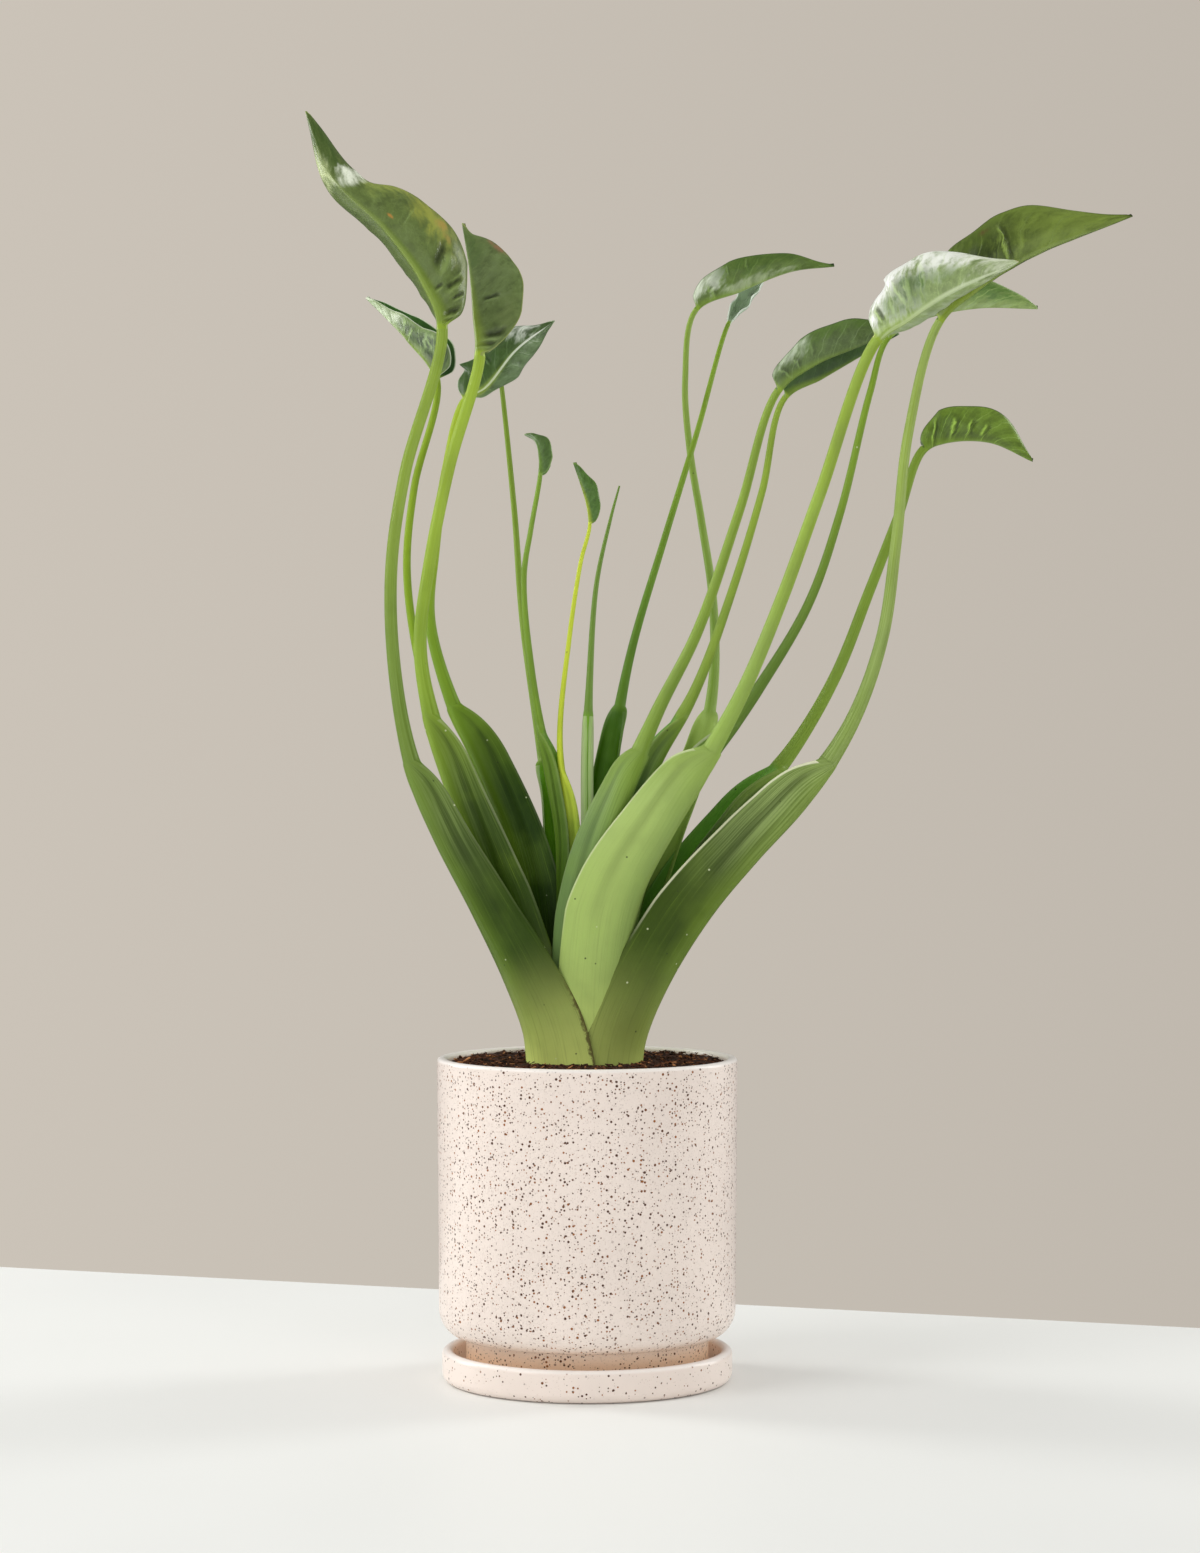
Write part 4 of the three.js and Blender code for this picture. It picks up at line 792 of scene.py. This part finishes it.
def stalk_material(number):
    """Fresh green skin: lengthwise streaks, pale or browned wing edges and a few specks, with painted light
    along the keel, painted highlights towards the shoulder, painted shade in the groove, and paler towards
    the mix, partly painted light.
    """
    sheath, inside, stalk, *_ = (display(*colour) for colour in GREENS[number])
    material, tree = new_material(f"stalk_{number}")
    place = object_place(tree)
    _, share, column, edge = leaf_axes(tree)
    face = mark(tree, "inside")
    streak_place = add(tree, "ShaderNodeCombineXYZ", {0: times(tree, column, 30),
                                                      1: times(tree, share, 3.2), 2: face})
    streaks = cloud(tree, streak_place.outputs[0], 1.0, 3, 0.6)
    patches = cloud(tree, place, 38, 3)
    dark = shade(sheath, 0.55)
    light = shade(stalk, 1.3, 0.02)
    top = display(*STALK_TOPS.get(number, GREENS[number][2]))
    fresh = blend(tree, span(tree, share, 1.15, 1.8), stalk, top)
    colour = blend(tree, span(tree, share, 0.72, 1.1), sheath, fresh)
    reach = size_of(tree, column)
    # Painted highlight: pale streaky green towards the shoulder.
    upper = times(tree, span(tree, share, 0.5, 0.9), span(tree, streaks, 0.6, 0.35, 0.4, 1.0))
    colour = tint(tree, colour, display(172, 194, 122), upper, SHOULDER_HIGHLIGHTS.get(number, 0.15))
    # Painted shade along the groove half way out on each wing.
    groove_shade = times(tree, bump_at(tree, reach, 0.52, 0.16),
                   times(tree, span(tree, share, 0.35, 0.65), span(tree, share, 1.02, 0.9)))
    colour = tint(tree, colour, dark, groove_shade, 0.5)
    # Painted light along the keel side, turned towards the stalk's fresh green; on leaf 13 the keel's lower
    # part takes a darker green instead, painted shade.
    keel_light_and_shade = span(tree, reach, 0.42, 0.0)
    keel = fresh
    if number == "13":
        keel = blend(tree, span(tree, share, 0.75, 1.0), display(108, 134, 64), fresh)
    colour = tint(tree, colour, keel, keel_light_and_shade, 0.55)
    # Paler towards the mix: partly the sheath's own pale base, partly painted light, strongest on leaf 01.
    near_soil = maths(tree, "POWER", span(tree, share, 0.0, 0.42, 1, 0, kind="LINEAR"), 1.7)
    colour = tint(tree, colour, display(240, 255, 142), near_soil, 1.0 if number == "01" else 0.7)
    within = times(tree, face, span(tree, share, 0.97, 1.0, 1, 0))
    colour = blend(tree, within, colour, inside)
    mottled = 0.35 if number == "13" else 0.15
    colour = mottle(tree, colour, ((dark, streaks, 0.5, 0.8, 0.35), (light, streaks, 0.45, 0.2, 0.25),
                                   (dark, patches, 0.45, 0.75, mottled),
                                   (light, patches, 0.5, 0.25, mottled)))
    rim = times(tree, span(tree, edge, 0.7, 1.3, 1, 0), span(tree, share, 0.35, 0.6))
    colour = tint(tree, colour, display(232, 234, 200), rim, PALE_EDGES.get(number, 0.05))
    crust = times(tree, minus(tree, cloud(tree, place, 260, 4, 0.65), 0.5), 7.0)
    browned = span(tree, plus(tree, edge, crust), 0.6, 2.0, 1, 0)
    browned = times(tree, browned, span(tree, share, 0.3, 0.2))
    colour = tint(tree, colour, display(78, 62, 28), browned, 0.85)
    away, parts = scatter(tree, place, 230.0)
    crowd = span(tree, share, 1.0, 0.3, 0.9, 0.74, kind="LINEAR")
    chosen = span(tree, minus(tree, parts[0], crowd), 0, 0.03)
    dot = times(tree, span(tree, away, 0.13, 0.06), chosen)
    speck = blend(tree, span(tree, parts[1], 0.65, 0.7), display(44, 56, 26), display(214, 222, 180))
    colour = tint(tree, colour, speck, dot, 0.85)
    fine = cloud(tree, place, 900, 2)
    height = plus(tree, times(tree, streaks, 0.8), times(tree, fine, 0.1))
    finish_material(tree, colour, span(tree, streaks, 0.2, 0.8, 0.38, 0.5), height, 0.0003,
                    Specular_IOR_Level=0.2)
    return material


def pucker(tree, leaf_place, ragged, fold, hollow_share, lip_share):
    """Masks of a crease pressed into a blade and of the lip that it raises: painted shade and painted
    highlight.
    """
    along, across, length, width, slant = fold
    turn = math.atan2(length * slant, width)
    laid = add(tree, "ShaderNodeMapping", {"Vector": leaf_place, "Location": (along, across, 0),
                                           "Rotation": (0, 0, turn), "Scale": (length, width, 1)},
               vector_type="TEXTURE")
    ahead, beside, _ = axes(tree, laid.outputs[0])
    beside = times(tree, beside, beside)
    ahead = plus(tree, ahead, ragged)
    near = span(tree, beside, 1.4, 0.1)
    hollow = span(tree, size_of(tree, ahead), 1.3, 0.0, 0.0, hollow_share)
    lip = span(tree, size_of(tree, plus(tree, ahead, 1.7)), 1.1, 0.0, 0.0, lip_share)
    return times(tree, hollow, near), times(tree, lip, near)


def blade_material(number):
    """Thick leathery blade: mottled and puckered, with veins, painted shade in the puckers and creases,
    painted highlights for sheen and a thin margin line.
    """
    _, _, _, below, above, margin = (display(*colour) for colour in GREENS[number])
    stalk = display(*STALK_TOPS.get(number, GREENS[number][2]))
    strength = VEINS.get(number, PLAIN_VEINS)[0]
    material, tree = new_material(f"blade_{number}")
    place = object_place(tree)
    leaf_place, share, column, edge = leaf_axes(tree)
    face = mark(tree, "inside")
    rib = mark(tree, "rib")
    reach = size_of(tree, column)
    dark = shade(below, 0.42)
    light = shade(below, 1.5, 0.03)
    patches = cloud(tree, place, 62, 4, 0.6)
    net = cloud(tree, place, 230, 3, 0.55)
    wander = minus(tree, patches, 0.5)
    lane = times(tree, minus(tree, share, times(tree, reach, VEIN_LEAN)), VEIN_COUNT)
    lane = plus(tree, lane, times(tree, maths(tree, "SIGN", column), 0.25))
    lane = plus(tree, lane, times(tree, wander, 0.9))
    comb_place = add(tree, "ShaderNodeCombineXYZ", {0: lane, 1: times(tree, column, 1.4),
                                                    2: float(number)})
    comb = cloud(tree, comb_place.outputs[0], 2.4, 4, 0.6)
    colour = mottle(tree, below, ((dark, patches, 0.48, 0.72, 0.5), (light, patches, 0.46, 0.28, 0.35),
                                  (dark, comb, 0.5, 0.72, 0.45), (light, comb, 0.46, 0.3, 0.3),
                                  (dark, net, 0.5, 0.68, 0.3)))
    ridges = span(tree, size_of(tree, minus(tree, net, 0.46)), 0.03, 0.0)
    colour = tint(tree, colour, light, ridges, 0.25)
    ragged = times(tree, plus(tree, wander, minus(tree, comb, 0.5)), 2.4)
    streaked = span(tree, comb, 0.64, 0.36, 0.6, 1.0)
    # Patches of the blade's own mottled colour; the near-white ones are painted highlights for sheen.
    for along, across, length, width, hue, amount in PATCHES_AND_HIGHLIGHTS.get(number, []):
        laid = add(tree, "ShaderNodeMapping", {"Vector": leaf_place, "Location": (along, across, 0),
                                               "Scale": (length, width, 1e6)}, vector_type="TEXTURE")
        away = add(tree, "ShaderNodeVectorMath", {0: laid.outputs[0]}, operation="LENGTH").outputs["Value"]
        spot = span(tree, plus(tree, away, ragged), 1.45, 0.2, 0.0, amount)
        colour = blend(tree, times(tree, spot, streaked, clamp=True), colour, display(*hue))
    vein = maths(tree, "PINGPONG", plus(tree, lane, 0.75), 0.5)
    fade = times(tree, span(tree, reach, 0.95, 0.6), span(tree, share, 0.05, 0.15))
    vein_line = times(tree, span(tree, vein, 0.06, 0.0), fade)
    fine = maths(tree, "PINGPONG", times(tree, lane, 4.0), 0.5)
    colour = tint(tree, colour, light, vein_line, strength)
    colour = tint(tree, colour, light, span(tree, fine, 0.12, 0.0), strength * 0.3)
    # Painted shade between the side veins, in the puckers.
    valley_shade = times(tree, span(tree, vein, 0.15, 0.4), fade)
    colour = tint(tree, colour, dark, valley_shade, strength * 0.55)
    height = plus(tree, times(tree, net, 0.35), times(tree, patches, 0.6))
    height = plus(tree, height, times(tree, vein_line, 0.4 * strength))
    # Creases and side veins: painted shade in each hollow and a painted highlight on each lip.
    folds = [(spot[:4] + spot[5:], 0.8, 0.65, 0.8, 1.8) for spot in CREASES.get(number, [])]
    folds += [(spot[:5], 0.7 * spot[5], spot[5], 1.8, 2.2) for spot in STROKES.get(number, [])]
    for spot, hollow_share, lip_share, wavy, gleam in folds:
        bent = times(tree, ragged, wavy)
        hollow, lip = pucker(tree, leaf_place, bent, spot, hollow_share, lip_share)
        colour = blend(tree, hollow, colour, shade(below, 0.2))
        colour = blend(tree, lip, colour, shade(below, gleam, 0.03))
        height = plus(tree, height, minus(tree, lip, hollow))
    hue, amount = MIDRIBS.get(number, ((150, 170, 110), 0.25))
    middle = times(tree, span(tree, reach, 0.055, 0.02), span(tree, share, 1.0, 0.85))
    colour = tint(tree, colour, display(*hue), middle, amount)
    colour = tint(tree, colour, stalk, rib, 0.5)
    upper = blend(tree, times(tree, vein_line, 0.3), above, light)
    upper = tint(tree, upper, shade(above, 0.5), span(tree, net, 0.45, 0.7), 0.35)
    colour = blend(tree, face, colour, upper)
    colour = blend(tree, span(tree, share, 0.045, 0.012), colour, stalk)
    colour = tint(tree, colour, margin, span(tree, edge, 0.15, 0.8, 1, 0), 0.8)
    grain = cloud(tree, place, 900, 3)
    height = plus(tree, height, times(tree, grain, 0.03))
    finish_material(tree, colour, span(tree, patches, 0.3, 0.7, 0.3, 0.42), height, 0.0005,
                    Specular_IOR_Level=0.36, Coat_Weight=0.2, Coat_Roughness=0.3)
    return material


def soil_material():
    material, tree = new_material("potting_mix")
    place = object_place(tree)
    crumb = mark(tree, "crumb")
    lumps = cloud(tree, place, 260, 4, 0.65)
    base = blend(tree, span(tree, lumps, 0.35, 0.65), display(28, 16, 11), display(86, 52, 35))
    tan = blend(tree, span(tree, crumb, 0.80, 1.0), display(104, 60, 36), display(196, 136, 88))
    colour = blend(tree, span(tree, crumb, 0.5, 0.85), base, tan)
    grain = cloud(tree, place, 1500, 3)
    height = plus(tree, lumps, times(tree, grain, 0.5))
    finish_material(tree, colour, span(tree, grain, 0.2, 0.8, 0.75, 1.0), height, 0.0008,
                    Specular_IOR_Level=0.2)
    return material


class PotSettings(bpy.types.PropertyGroup):
    """Sizes and glaze of the pot and saucer."""

    radius: bpy.props.FloatProperty(name="Rim radius", description="Outer radius of the pot's rim",
                                    default=0.065, unit="LENGTH")
    height: bpy.props.FloatProperty(name="Rim height", description="Height of the rim above the table",
                                    default=0.1397, unit="LENGTH")
    wall: bpy.props.FloatProperty(name="Wall", description="Thickness of the pot's wall",
                                  default=0.0044, unit="LENGTH")
    sides: bpy.props.IntProperty(name="Sides", description="Facets round each turned piece", default=128)
    glaze: bpy.props.FloatVectorProperty(name="Glaze", description="Colour of the glaze",
                                         default=display(245, 231, 222)[:3], size=3, subtype="COLOR")
    specks: bpy.props.FloatProperty(name="Specks", description="Share of glaze cells that hold a speck",
                                    default=0.52, subtype="FACTOR")


class SoilSettings(bpy.types.PropertyGroup):
    """The potting mix."""

    crumbs: bpy.props.IntProperty(name="Crumbs", description="Loose bits on the mix", default=1500)
    crumb_length: bpy.props.FloatProperty(name="Crumb length", description="Length of the longest bits",
                                          default=0.0042, unit="LENGTH")


class StageSettings(bpy.types.PropertyGroup):
    """Table, backdrop, lights and camera."""

    table: bpy.props.FloatVectorProperty(name="Table", description="Colour of the table top",
                                         default=display(239, 240, 238)[:3], size=3, subtype="COLOR")
    backdrop: bpy.props.FloatVectorProperty(name="Backdrop", description="Colour behind the table",
                                            default=display(203, 195, 184)[:3], size=3, subtype="COLOR")
    ambient: bpy.props.FloatProperty(name="Ambient", description="Strength of the light from all round",
                                     default=0.68)
    key_power: bpy.props.FloatProperty(name="Key light", description="Power of the main light",
                                       default=10.5, unit="POWER")
    distance: bpy.props.FloatProperty(name="Camera distance", description="From the pot's axis",
                                      default=1.55, unit="LENGTH")


def settle(piece, node):
    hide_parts(node)
    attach(piece, "root")


class PLANT_OT_pot(bpy.types.Operator):
    """Turn the pot and glaze it"""

    bl_idname = "plant.pot"
    bl_label = "Add Pot"

    def execute(self, context):
        size = context.scene.plant_pot
        radius, height, wall = size.radius / MM, size.height / MM, size.wall / MM
        inside, lip = radius - wall, 1.8
        profile = straight((7, 5.1), (51.7, 5.1))
        profile += corner((51.7, 5.9), (0.8, 0.8), -90, 0, 4)[1:]
        profile += straight((52.5, 18.9))
        profile += corner((53.1, 18.9), (-0.6, 0.6), 0, 90, 3)[1:]
        profile += corner((53.3, 31.5), (10.9, 12), -90, 0, 18)[1:]
        profile += corner((radius - lip, height - lip), (lip, lip), 0, 90, 6)
        profile += corner((inside + lip, height - lip), (lip, lip), 90, 180, 6)
        profile += straight((inside, 31.5), (inside - 3, 22.5), (46.5, 21.5), (46.5, 12.1), (7, 12.1),
                            (7, 5.1))
        pot = turned("Pot", profile, size.sides, False)
        glaze = tuple(size.glaze) + (1.0,)
        material = glaze_material("pot_glaze", glaze, size.specks, speck_scale=560.0,
                                  top=size.height, foot=1.0)
        pot.data.materials.append(material)
        settle(pot, "pot")
        return {"FINISHED"}


class PLANT_OT_saucer(bpy.types.Operator):
    """Turn the saucer and glaze it"""

    bl_idname = "plant.saucer"
    bl_label = "Add Saucer"

    def execute(self, context):
        size = context.scene.plant_pot
        profile = straight((56.5, 0.6), (58.0, 0.0)) + corner((58.8, 4), (4, 4), -90, 0, 8)[1:]
        profile += corner((60.3, 11.5), (2.5, 2.5), 0, 180, 12)
        profile += straight((57.8, 6.4)) + corner((56.2, 6.4), (1.6, 1.6), 0, -90, 4)[1:]
        saucer = turned("Saucer", profile, size.sides, True)
        glaze = tuple(size.glaze) + (1.0,)
        material = glaze_material("saucer_glaze", glaze, size.specks * 0.3, speck_scale=540.0,
                                  top=0.014, foot=0.0)
        saucer.data.materials.append(material)
        settle(saucer, "saucer")
        return {"FINISHED"}


class PLANT_OT_soil(bpy.types.Operator):
    """Fill the pot with potting mix and scatter crumbs on it"""

    bl_idname = "plant.soil"
    bl_label = "Add Potting Mix"

    def execute(self, context):
        size = context.scene.plant_soil
        wall, foot, hole, rings = 60.3, 46.2, 24.5, 34
        hole_floor, level = 128.6, 137.3
        profile = straight((foot, 12.4), (foot, 21.8), (57.3, 22.8), (wall, 31.8), (wall, level - 0.9))
        profile += straight(*((mix(wall, hole, step / rings), level) for step in range(1, rings + 1)))
        profile += straight((hole, hole_floor))
        soil = turned("Potting_Mix", profile, 180, True)
        for vertex in soil.data.vertices:
            if vertex.co.z < (hole_floor - 1) * MM:
                continue
            reach = vertex.co.xy.length / MM
            vertex.co.x += CROWN_X * MM * smooth(reach, wall, hole)
            if vertex.co.z > (level - 4) * MM:
                lumps = noise.fractal(vertex.co * 170, 0.9, 2.1, 4) * 1.3
                vertex.co.z += (lumps * smooth(reach, wall + 0.1, wall - 3) + 0.3) * MM
        draw = random.Random(11)
        bits = []
        for kind in range(3):
            deselect_all()
            bpy.ops.mesh.primitive_cone_add(vertices=5 + kind, radius1=0.5, radius2=0.22, depth=1.0,
                                            location=(0, 0, 0))
            bit = bpy.context.object
            bpy.ops.object.mode_set(mode="EDIT")
            bpy.ops.mesh.select_all(action="SELECT")
            bpy.ops.mesh.subdivide(number_cuts=1)
            bpy.ops.transform.resize(value=(1, 0.6, 1))
            bpy.ops.mesh.vertices_smooth(factor=0.3)
            bpy.ops.object.mode_set(mode="OBJECT")
            bits.append(bit)
        corners, faces, crumb = [], [], []
        for _ in range(size.crumbs):
            angle = draw.uniform(0, 2 * math.pi)
            reach = mix(hole + 0.3, wall - 1.2, draw.random() ** 0.8)
            length = size.crumb_length * draw.uniform(0.22, 1) ** 1.4
            width = min(length, 0.0022) * draw.uniform(0.25, 0.8)
            spin = Matrix.Rotation(draw.uniform(0, 6.28), 4, "Z")
            turn = spin @ Matrix.Rotation(draw.uniform(1.1, 2.0), 4, "X")
            shift = CROWN_X * smooth(reach, wall, hole)
            spot = Vector(((reach * math.cos(angle) + shift) * MM, reach * math.sin(angle) * MM,
                           (137.6 + draw.uniform(0, 1.1) - 0.6 * smooth(reach, wall - 4, wall)) * MM))
            matrix = Matrix.Translation(spot) @ turn @ Matrix.Diagonal((width, width, length, 1))
            source = draw.choice(bits).data
            offset = len(corners)
            corners += [matrix @ vertex.co for vertex in source.vertices]
            faces += [[offset + index for index in face.vertices] for face in source.polygons]
            crumb += [draw.random()] * len(source.vertices)
        loose = bpy.data.meshes.new("Crumbs")
        loose.from_pydata(corners, [], faces)
        loose.attributes.new("crumb", "FLOAT", "POINT").data.foreach_set("value", crumb)
        crumbs = bpy.data.objects.new("Crumbs", loose)
        context.scene.collection.objects.link(crumbs)
        for bit in bits:
            bpy.data.objects.remove(bit)
        deselect_all()
        crumbs.select_set(True)
        soil.select_set(True)
        bpy.context.view_layer.objects.active = soil
        bpy.ops.object.join()
        soil.data.materials.append(soil_material())
        settle(soil, "soil")
        return {"FINISHED"}


class PLANT_OT_stalks(bpy.types.Operator):
    """Grow each leaf's sheath and stalk"""

    bl_idname = "plant.stalks"
    bl_label = "Add Sheaths and Stalks"

    def execute(self, context):
        for leaf in LEAVES:
            path, top = leaf_path(leaf)
            shoulder = place_at_height(path, leaf["shoulder"], top)
            rings, places = [], []
            for step in range(SHEATH_ROWS):
                share = 1 - (1 - step / SHEATH_ROWS) ** 1.7
                place = place_at_height(path, mix(SHEATH_FOOT, leaf["shoulder"], share), top)
                ring, spots = stalk_section(leaf, path, place, share)
                rings.append(ring)
                places.append(spots)
            for step in range(STALK_ROWS + 1):
                share = step / STALK_ROWS
                ring, spots = stalk_section(leaf, path, mix(shoulder, top, share), 1 + share)
                rings.append(ring)
                places.append(spots)
            stalk = sleeve(f"Stalk_{leaf['number']}", rings, places, ("inside",))
            stalk.data.materials.append(stalk_material(leaf["number"]))
            settle(stalk, f"petiole_{leaf['number']}")
        return {"FINISHED"}


class PLANT_OT_blades(bpy.types.Operator):
    """Grow each leaf's cupped blade"""

    bl_idname = "plant.blades"
    bl_label = "Add Blades"

    def execute(self, context):
        for leaf in LEAVES:
            if not leaf["midrib"]:
                continue
            path, start = leaf_path(leaf)
            rings, places = [], []
            for row in range(BLADE_ROWS + 1):
                ring, spots = blade_section(leaf, path, start, (row / BLADE_ROWS) ** 1.3)
                rings.append(ring)
                places.append(spots)
            blade = sleeve(f"Blade_{leaf['number']}", rings, places, ("inside", "rib"))
            blade.data.materials.append(blade_material(leaf["number"]))
            settle(blade, f"blade_{leaf['number']}")
        return {"FINISHED"}


# The photograph's camera: place in metres, dip in degrees, and focal length and frame height in pixels.
CAMERA_X = 0.0055
CAMERA_HEIGHT = 0.2713
CAMERA_DIP = 0.376
FOCAL_PIXELS = 3580
FRAME_PIXELS = 1553


def area_light(name, spot, target, size, power, colour):
    light = bpy.data.lights.new(name, "AREA")
    light.shape = "RECTANGLE"
    light.size, light.size_y = size
    light.energy = power
    light.color = colour
    lamp = bpy.data.objects.new(name, light)
    lamp.location = spot
    lamp.rotation_euler = (Vector(target) - Vector(spot)).to_track_quat("-Z", "Y").to_euler()
    bpy.context.scene.collection.objects.link(lamp)


class PLANT_OT_stage(bpy.types.Operator):
    """Set the table, the backdrop, the lights and the camera"""

    bl_idname = "plant.stage"
    bl_label = "Set Stage"

    def execute(self, context):
        stage = context.scene.plant_stage
        deselect_all()
        bpy.ops.mesh.primitive_plane_add(size=1, location=(0, 0, 0))
        table = bpy.context.object
        table.name = "Table"
        corners = ((-3.2, -3.6, 0), (3.2, -3.6, 0), (-3.2, 1.306, 0), (3.2, -0.838, 0))
        for vertex, spot in zip(table.data.vertices, corners):
            vertex.co = spot
        material, tree = new_material("table_top")
        place = object_place(tree)
        grain = cloud(tree, place, 5, 2)
        top = tuple(stage.table) + (1.0,)
        colour = blend(tree, span(tree, grain, 0.3, 0.7), top, shade(top, 0.985))
        finish_material(tree, colour, span(tree, grain, 0.3, 0.7, 0.55, 0.65), grain, 0.0001)
        table.data.materials.append(material)

        world = bpy.data.worlds.new("backdrop")
        context.scene.world = world
        world.use_nodes = True
        tree = world.node_tree
        tree.nodes.clear()
        # The backdrop that the camera sees grows darker to the right: painted shade.
        heading = axes(tree, add(tree, "ShaderNodeTexCoord").outputs["Generated"])
        across = span(tree, heading[0], -0.17, 0.17, kind="LINEAR")
        backdrop = blend(tree, across, tuple(stage.backdrop) + (1.0,), shade(stage.backdrop, 0.885))
        seen = add(tree, "ShaderNodeBackground", {"Color": backdrop, "Strength": 1.0})
        path = add(tree, "ShaderNodeLightPath")
        soft = maths(tree, "MULTIPLY_ADD", path.outputs["Is Glossy Ray"], -0.8 * stage.ambient)
        soft.node.inputs[2].default_value = stage.ambient
        around = add(tree, "ShaderNodeBackground", {"Color": (1.0, 0.985, 0.96, 1.0), "Strength": soft})
        both = add(tree, "ShaderNodeMixShader", {0: path.outputs["Is Camera Ray"], 1: around.outputs[0],
                                                2: seen.outputs[0]})
        add(tree, "ShaderNodeOutputWorld", {"Surface": both.outputs[0]})

        key = stage.key_power
        area_light("Key", (-1.3, -0.9, 1.5), (0, 0, 0.3), (0.9, 0.9), key, (1.0, 1.0, 0.99))
        area_light("Left rim", (-1.5, 0.7, 0.9), (0, 0, 0.3), (0.5, 1.3), key * 1.2, (1.0, 1.0, 0.97))
        area_light("Right rim", (1.5, 0.7, 0.8), (0, 0, 0.3), (0.5, 1.3), key * 0.95, (1.0, 1.0, 0.98))
        area_light("Front", (0.5, -2.2, 0.8), (0, 0, 0.1), (1.6, 1.0), key * 0.4, (1.0, 1.0, 1.0))

        camera = bpy.data.cameras.new("Camera")
        camera.sensor_fit = "VERTICAL"
        camera.sensor_height = 36.0
        camera.lens = FOCAL_PIXELS / FRAME_PIXELS * camera.sensor_height
        camera.clip_end = 20
        view = bpy.data.objects.new("Camera", camera)
        view.location = (CAMERA_X, -stage.distance, CAMERA_HEIGHT)
        view.rotation_euler = (math.radians(90 - CAMERA_DIP), 0, 0)
        context.scene.collection.objects.link(view)
        context.scene.camera = view
        context.scene.view_settings.view_transform = "Standard"
        return {"FINISHED"}


class PLANT_PT_panel(bpy.types.Panel):
    """Lists the pieces of the plant"""

    bl_idname = "PLANT_PT_panel"
    bl_label = "Potted Plant"
    bl_space_type = "VIEW_3D"
    bl_region_type = "UI"
    bl_category = "Plant"

    def draw(self, context):
        for group in (context.scene.plant_pot, context.scene.plant_soil, context.scene.plant_stage):
            for name in group.bl_rna.properties.keys():
                if name not in ("rna_type", "name"):
                    self.layout.prop(group, name)
        for operator in OPERATORS:
            self.layout.operator(operator.bl_idname)


OPERATORS = (PLANT_OT_stage, PLANT_OT_pot, PLANT_OT_saucer, PLANT_OT_soil, PLANT_OT_stalks, PLANT_OT_blades)
SETTINGS = (("plant_pot", PotSettings), ("plant_soil", SoilSettings), ("plant_stage", StageSettings))


def register():
    for name, group in SETTINGS:
        bpy.utils.register_class(group)
        setattr(bpy.types.Scene, name, bpy.props.PointerProperty(type=group))
    for operator in OPERATORS:
        bpy.utils.register_class(operator)
    bpy.utils.register_class(PLANT_PT_panel)


def unregister():
    bpy.utils.unregister_class(PLANT_PT_panel)
    for operator in reversed(OPERATORS):
        bpy.utils.unregister_class(operator)
    for name, group in reversed(SETTINGS):
        delattr(bpy.types.Scene, name)
        bpy.utils.unregister_class(group)


def main():
    register()
    bpy.ops.plant.stage()
    bpy.ops.plant.pot()
    bpy.ops.plant.saucer()
    bpy.ops.plant.soil()
    bpy.ops.plant.stalks()
    bpy.ops.plant.blades()


if __name__ == "__main__":
    main()
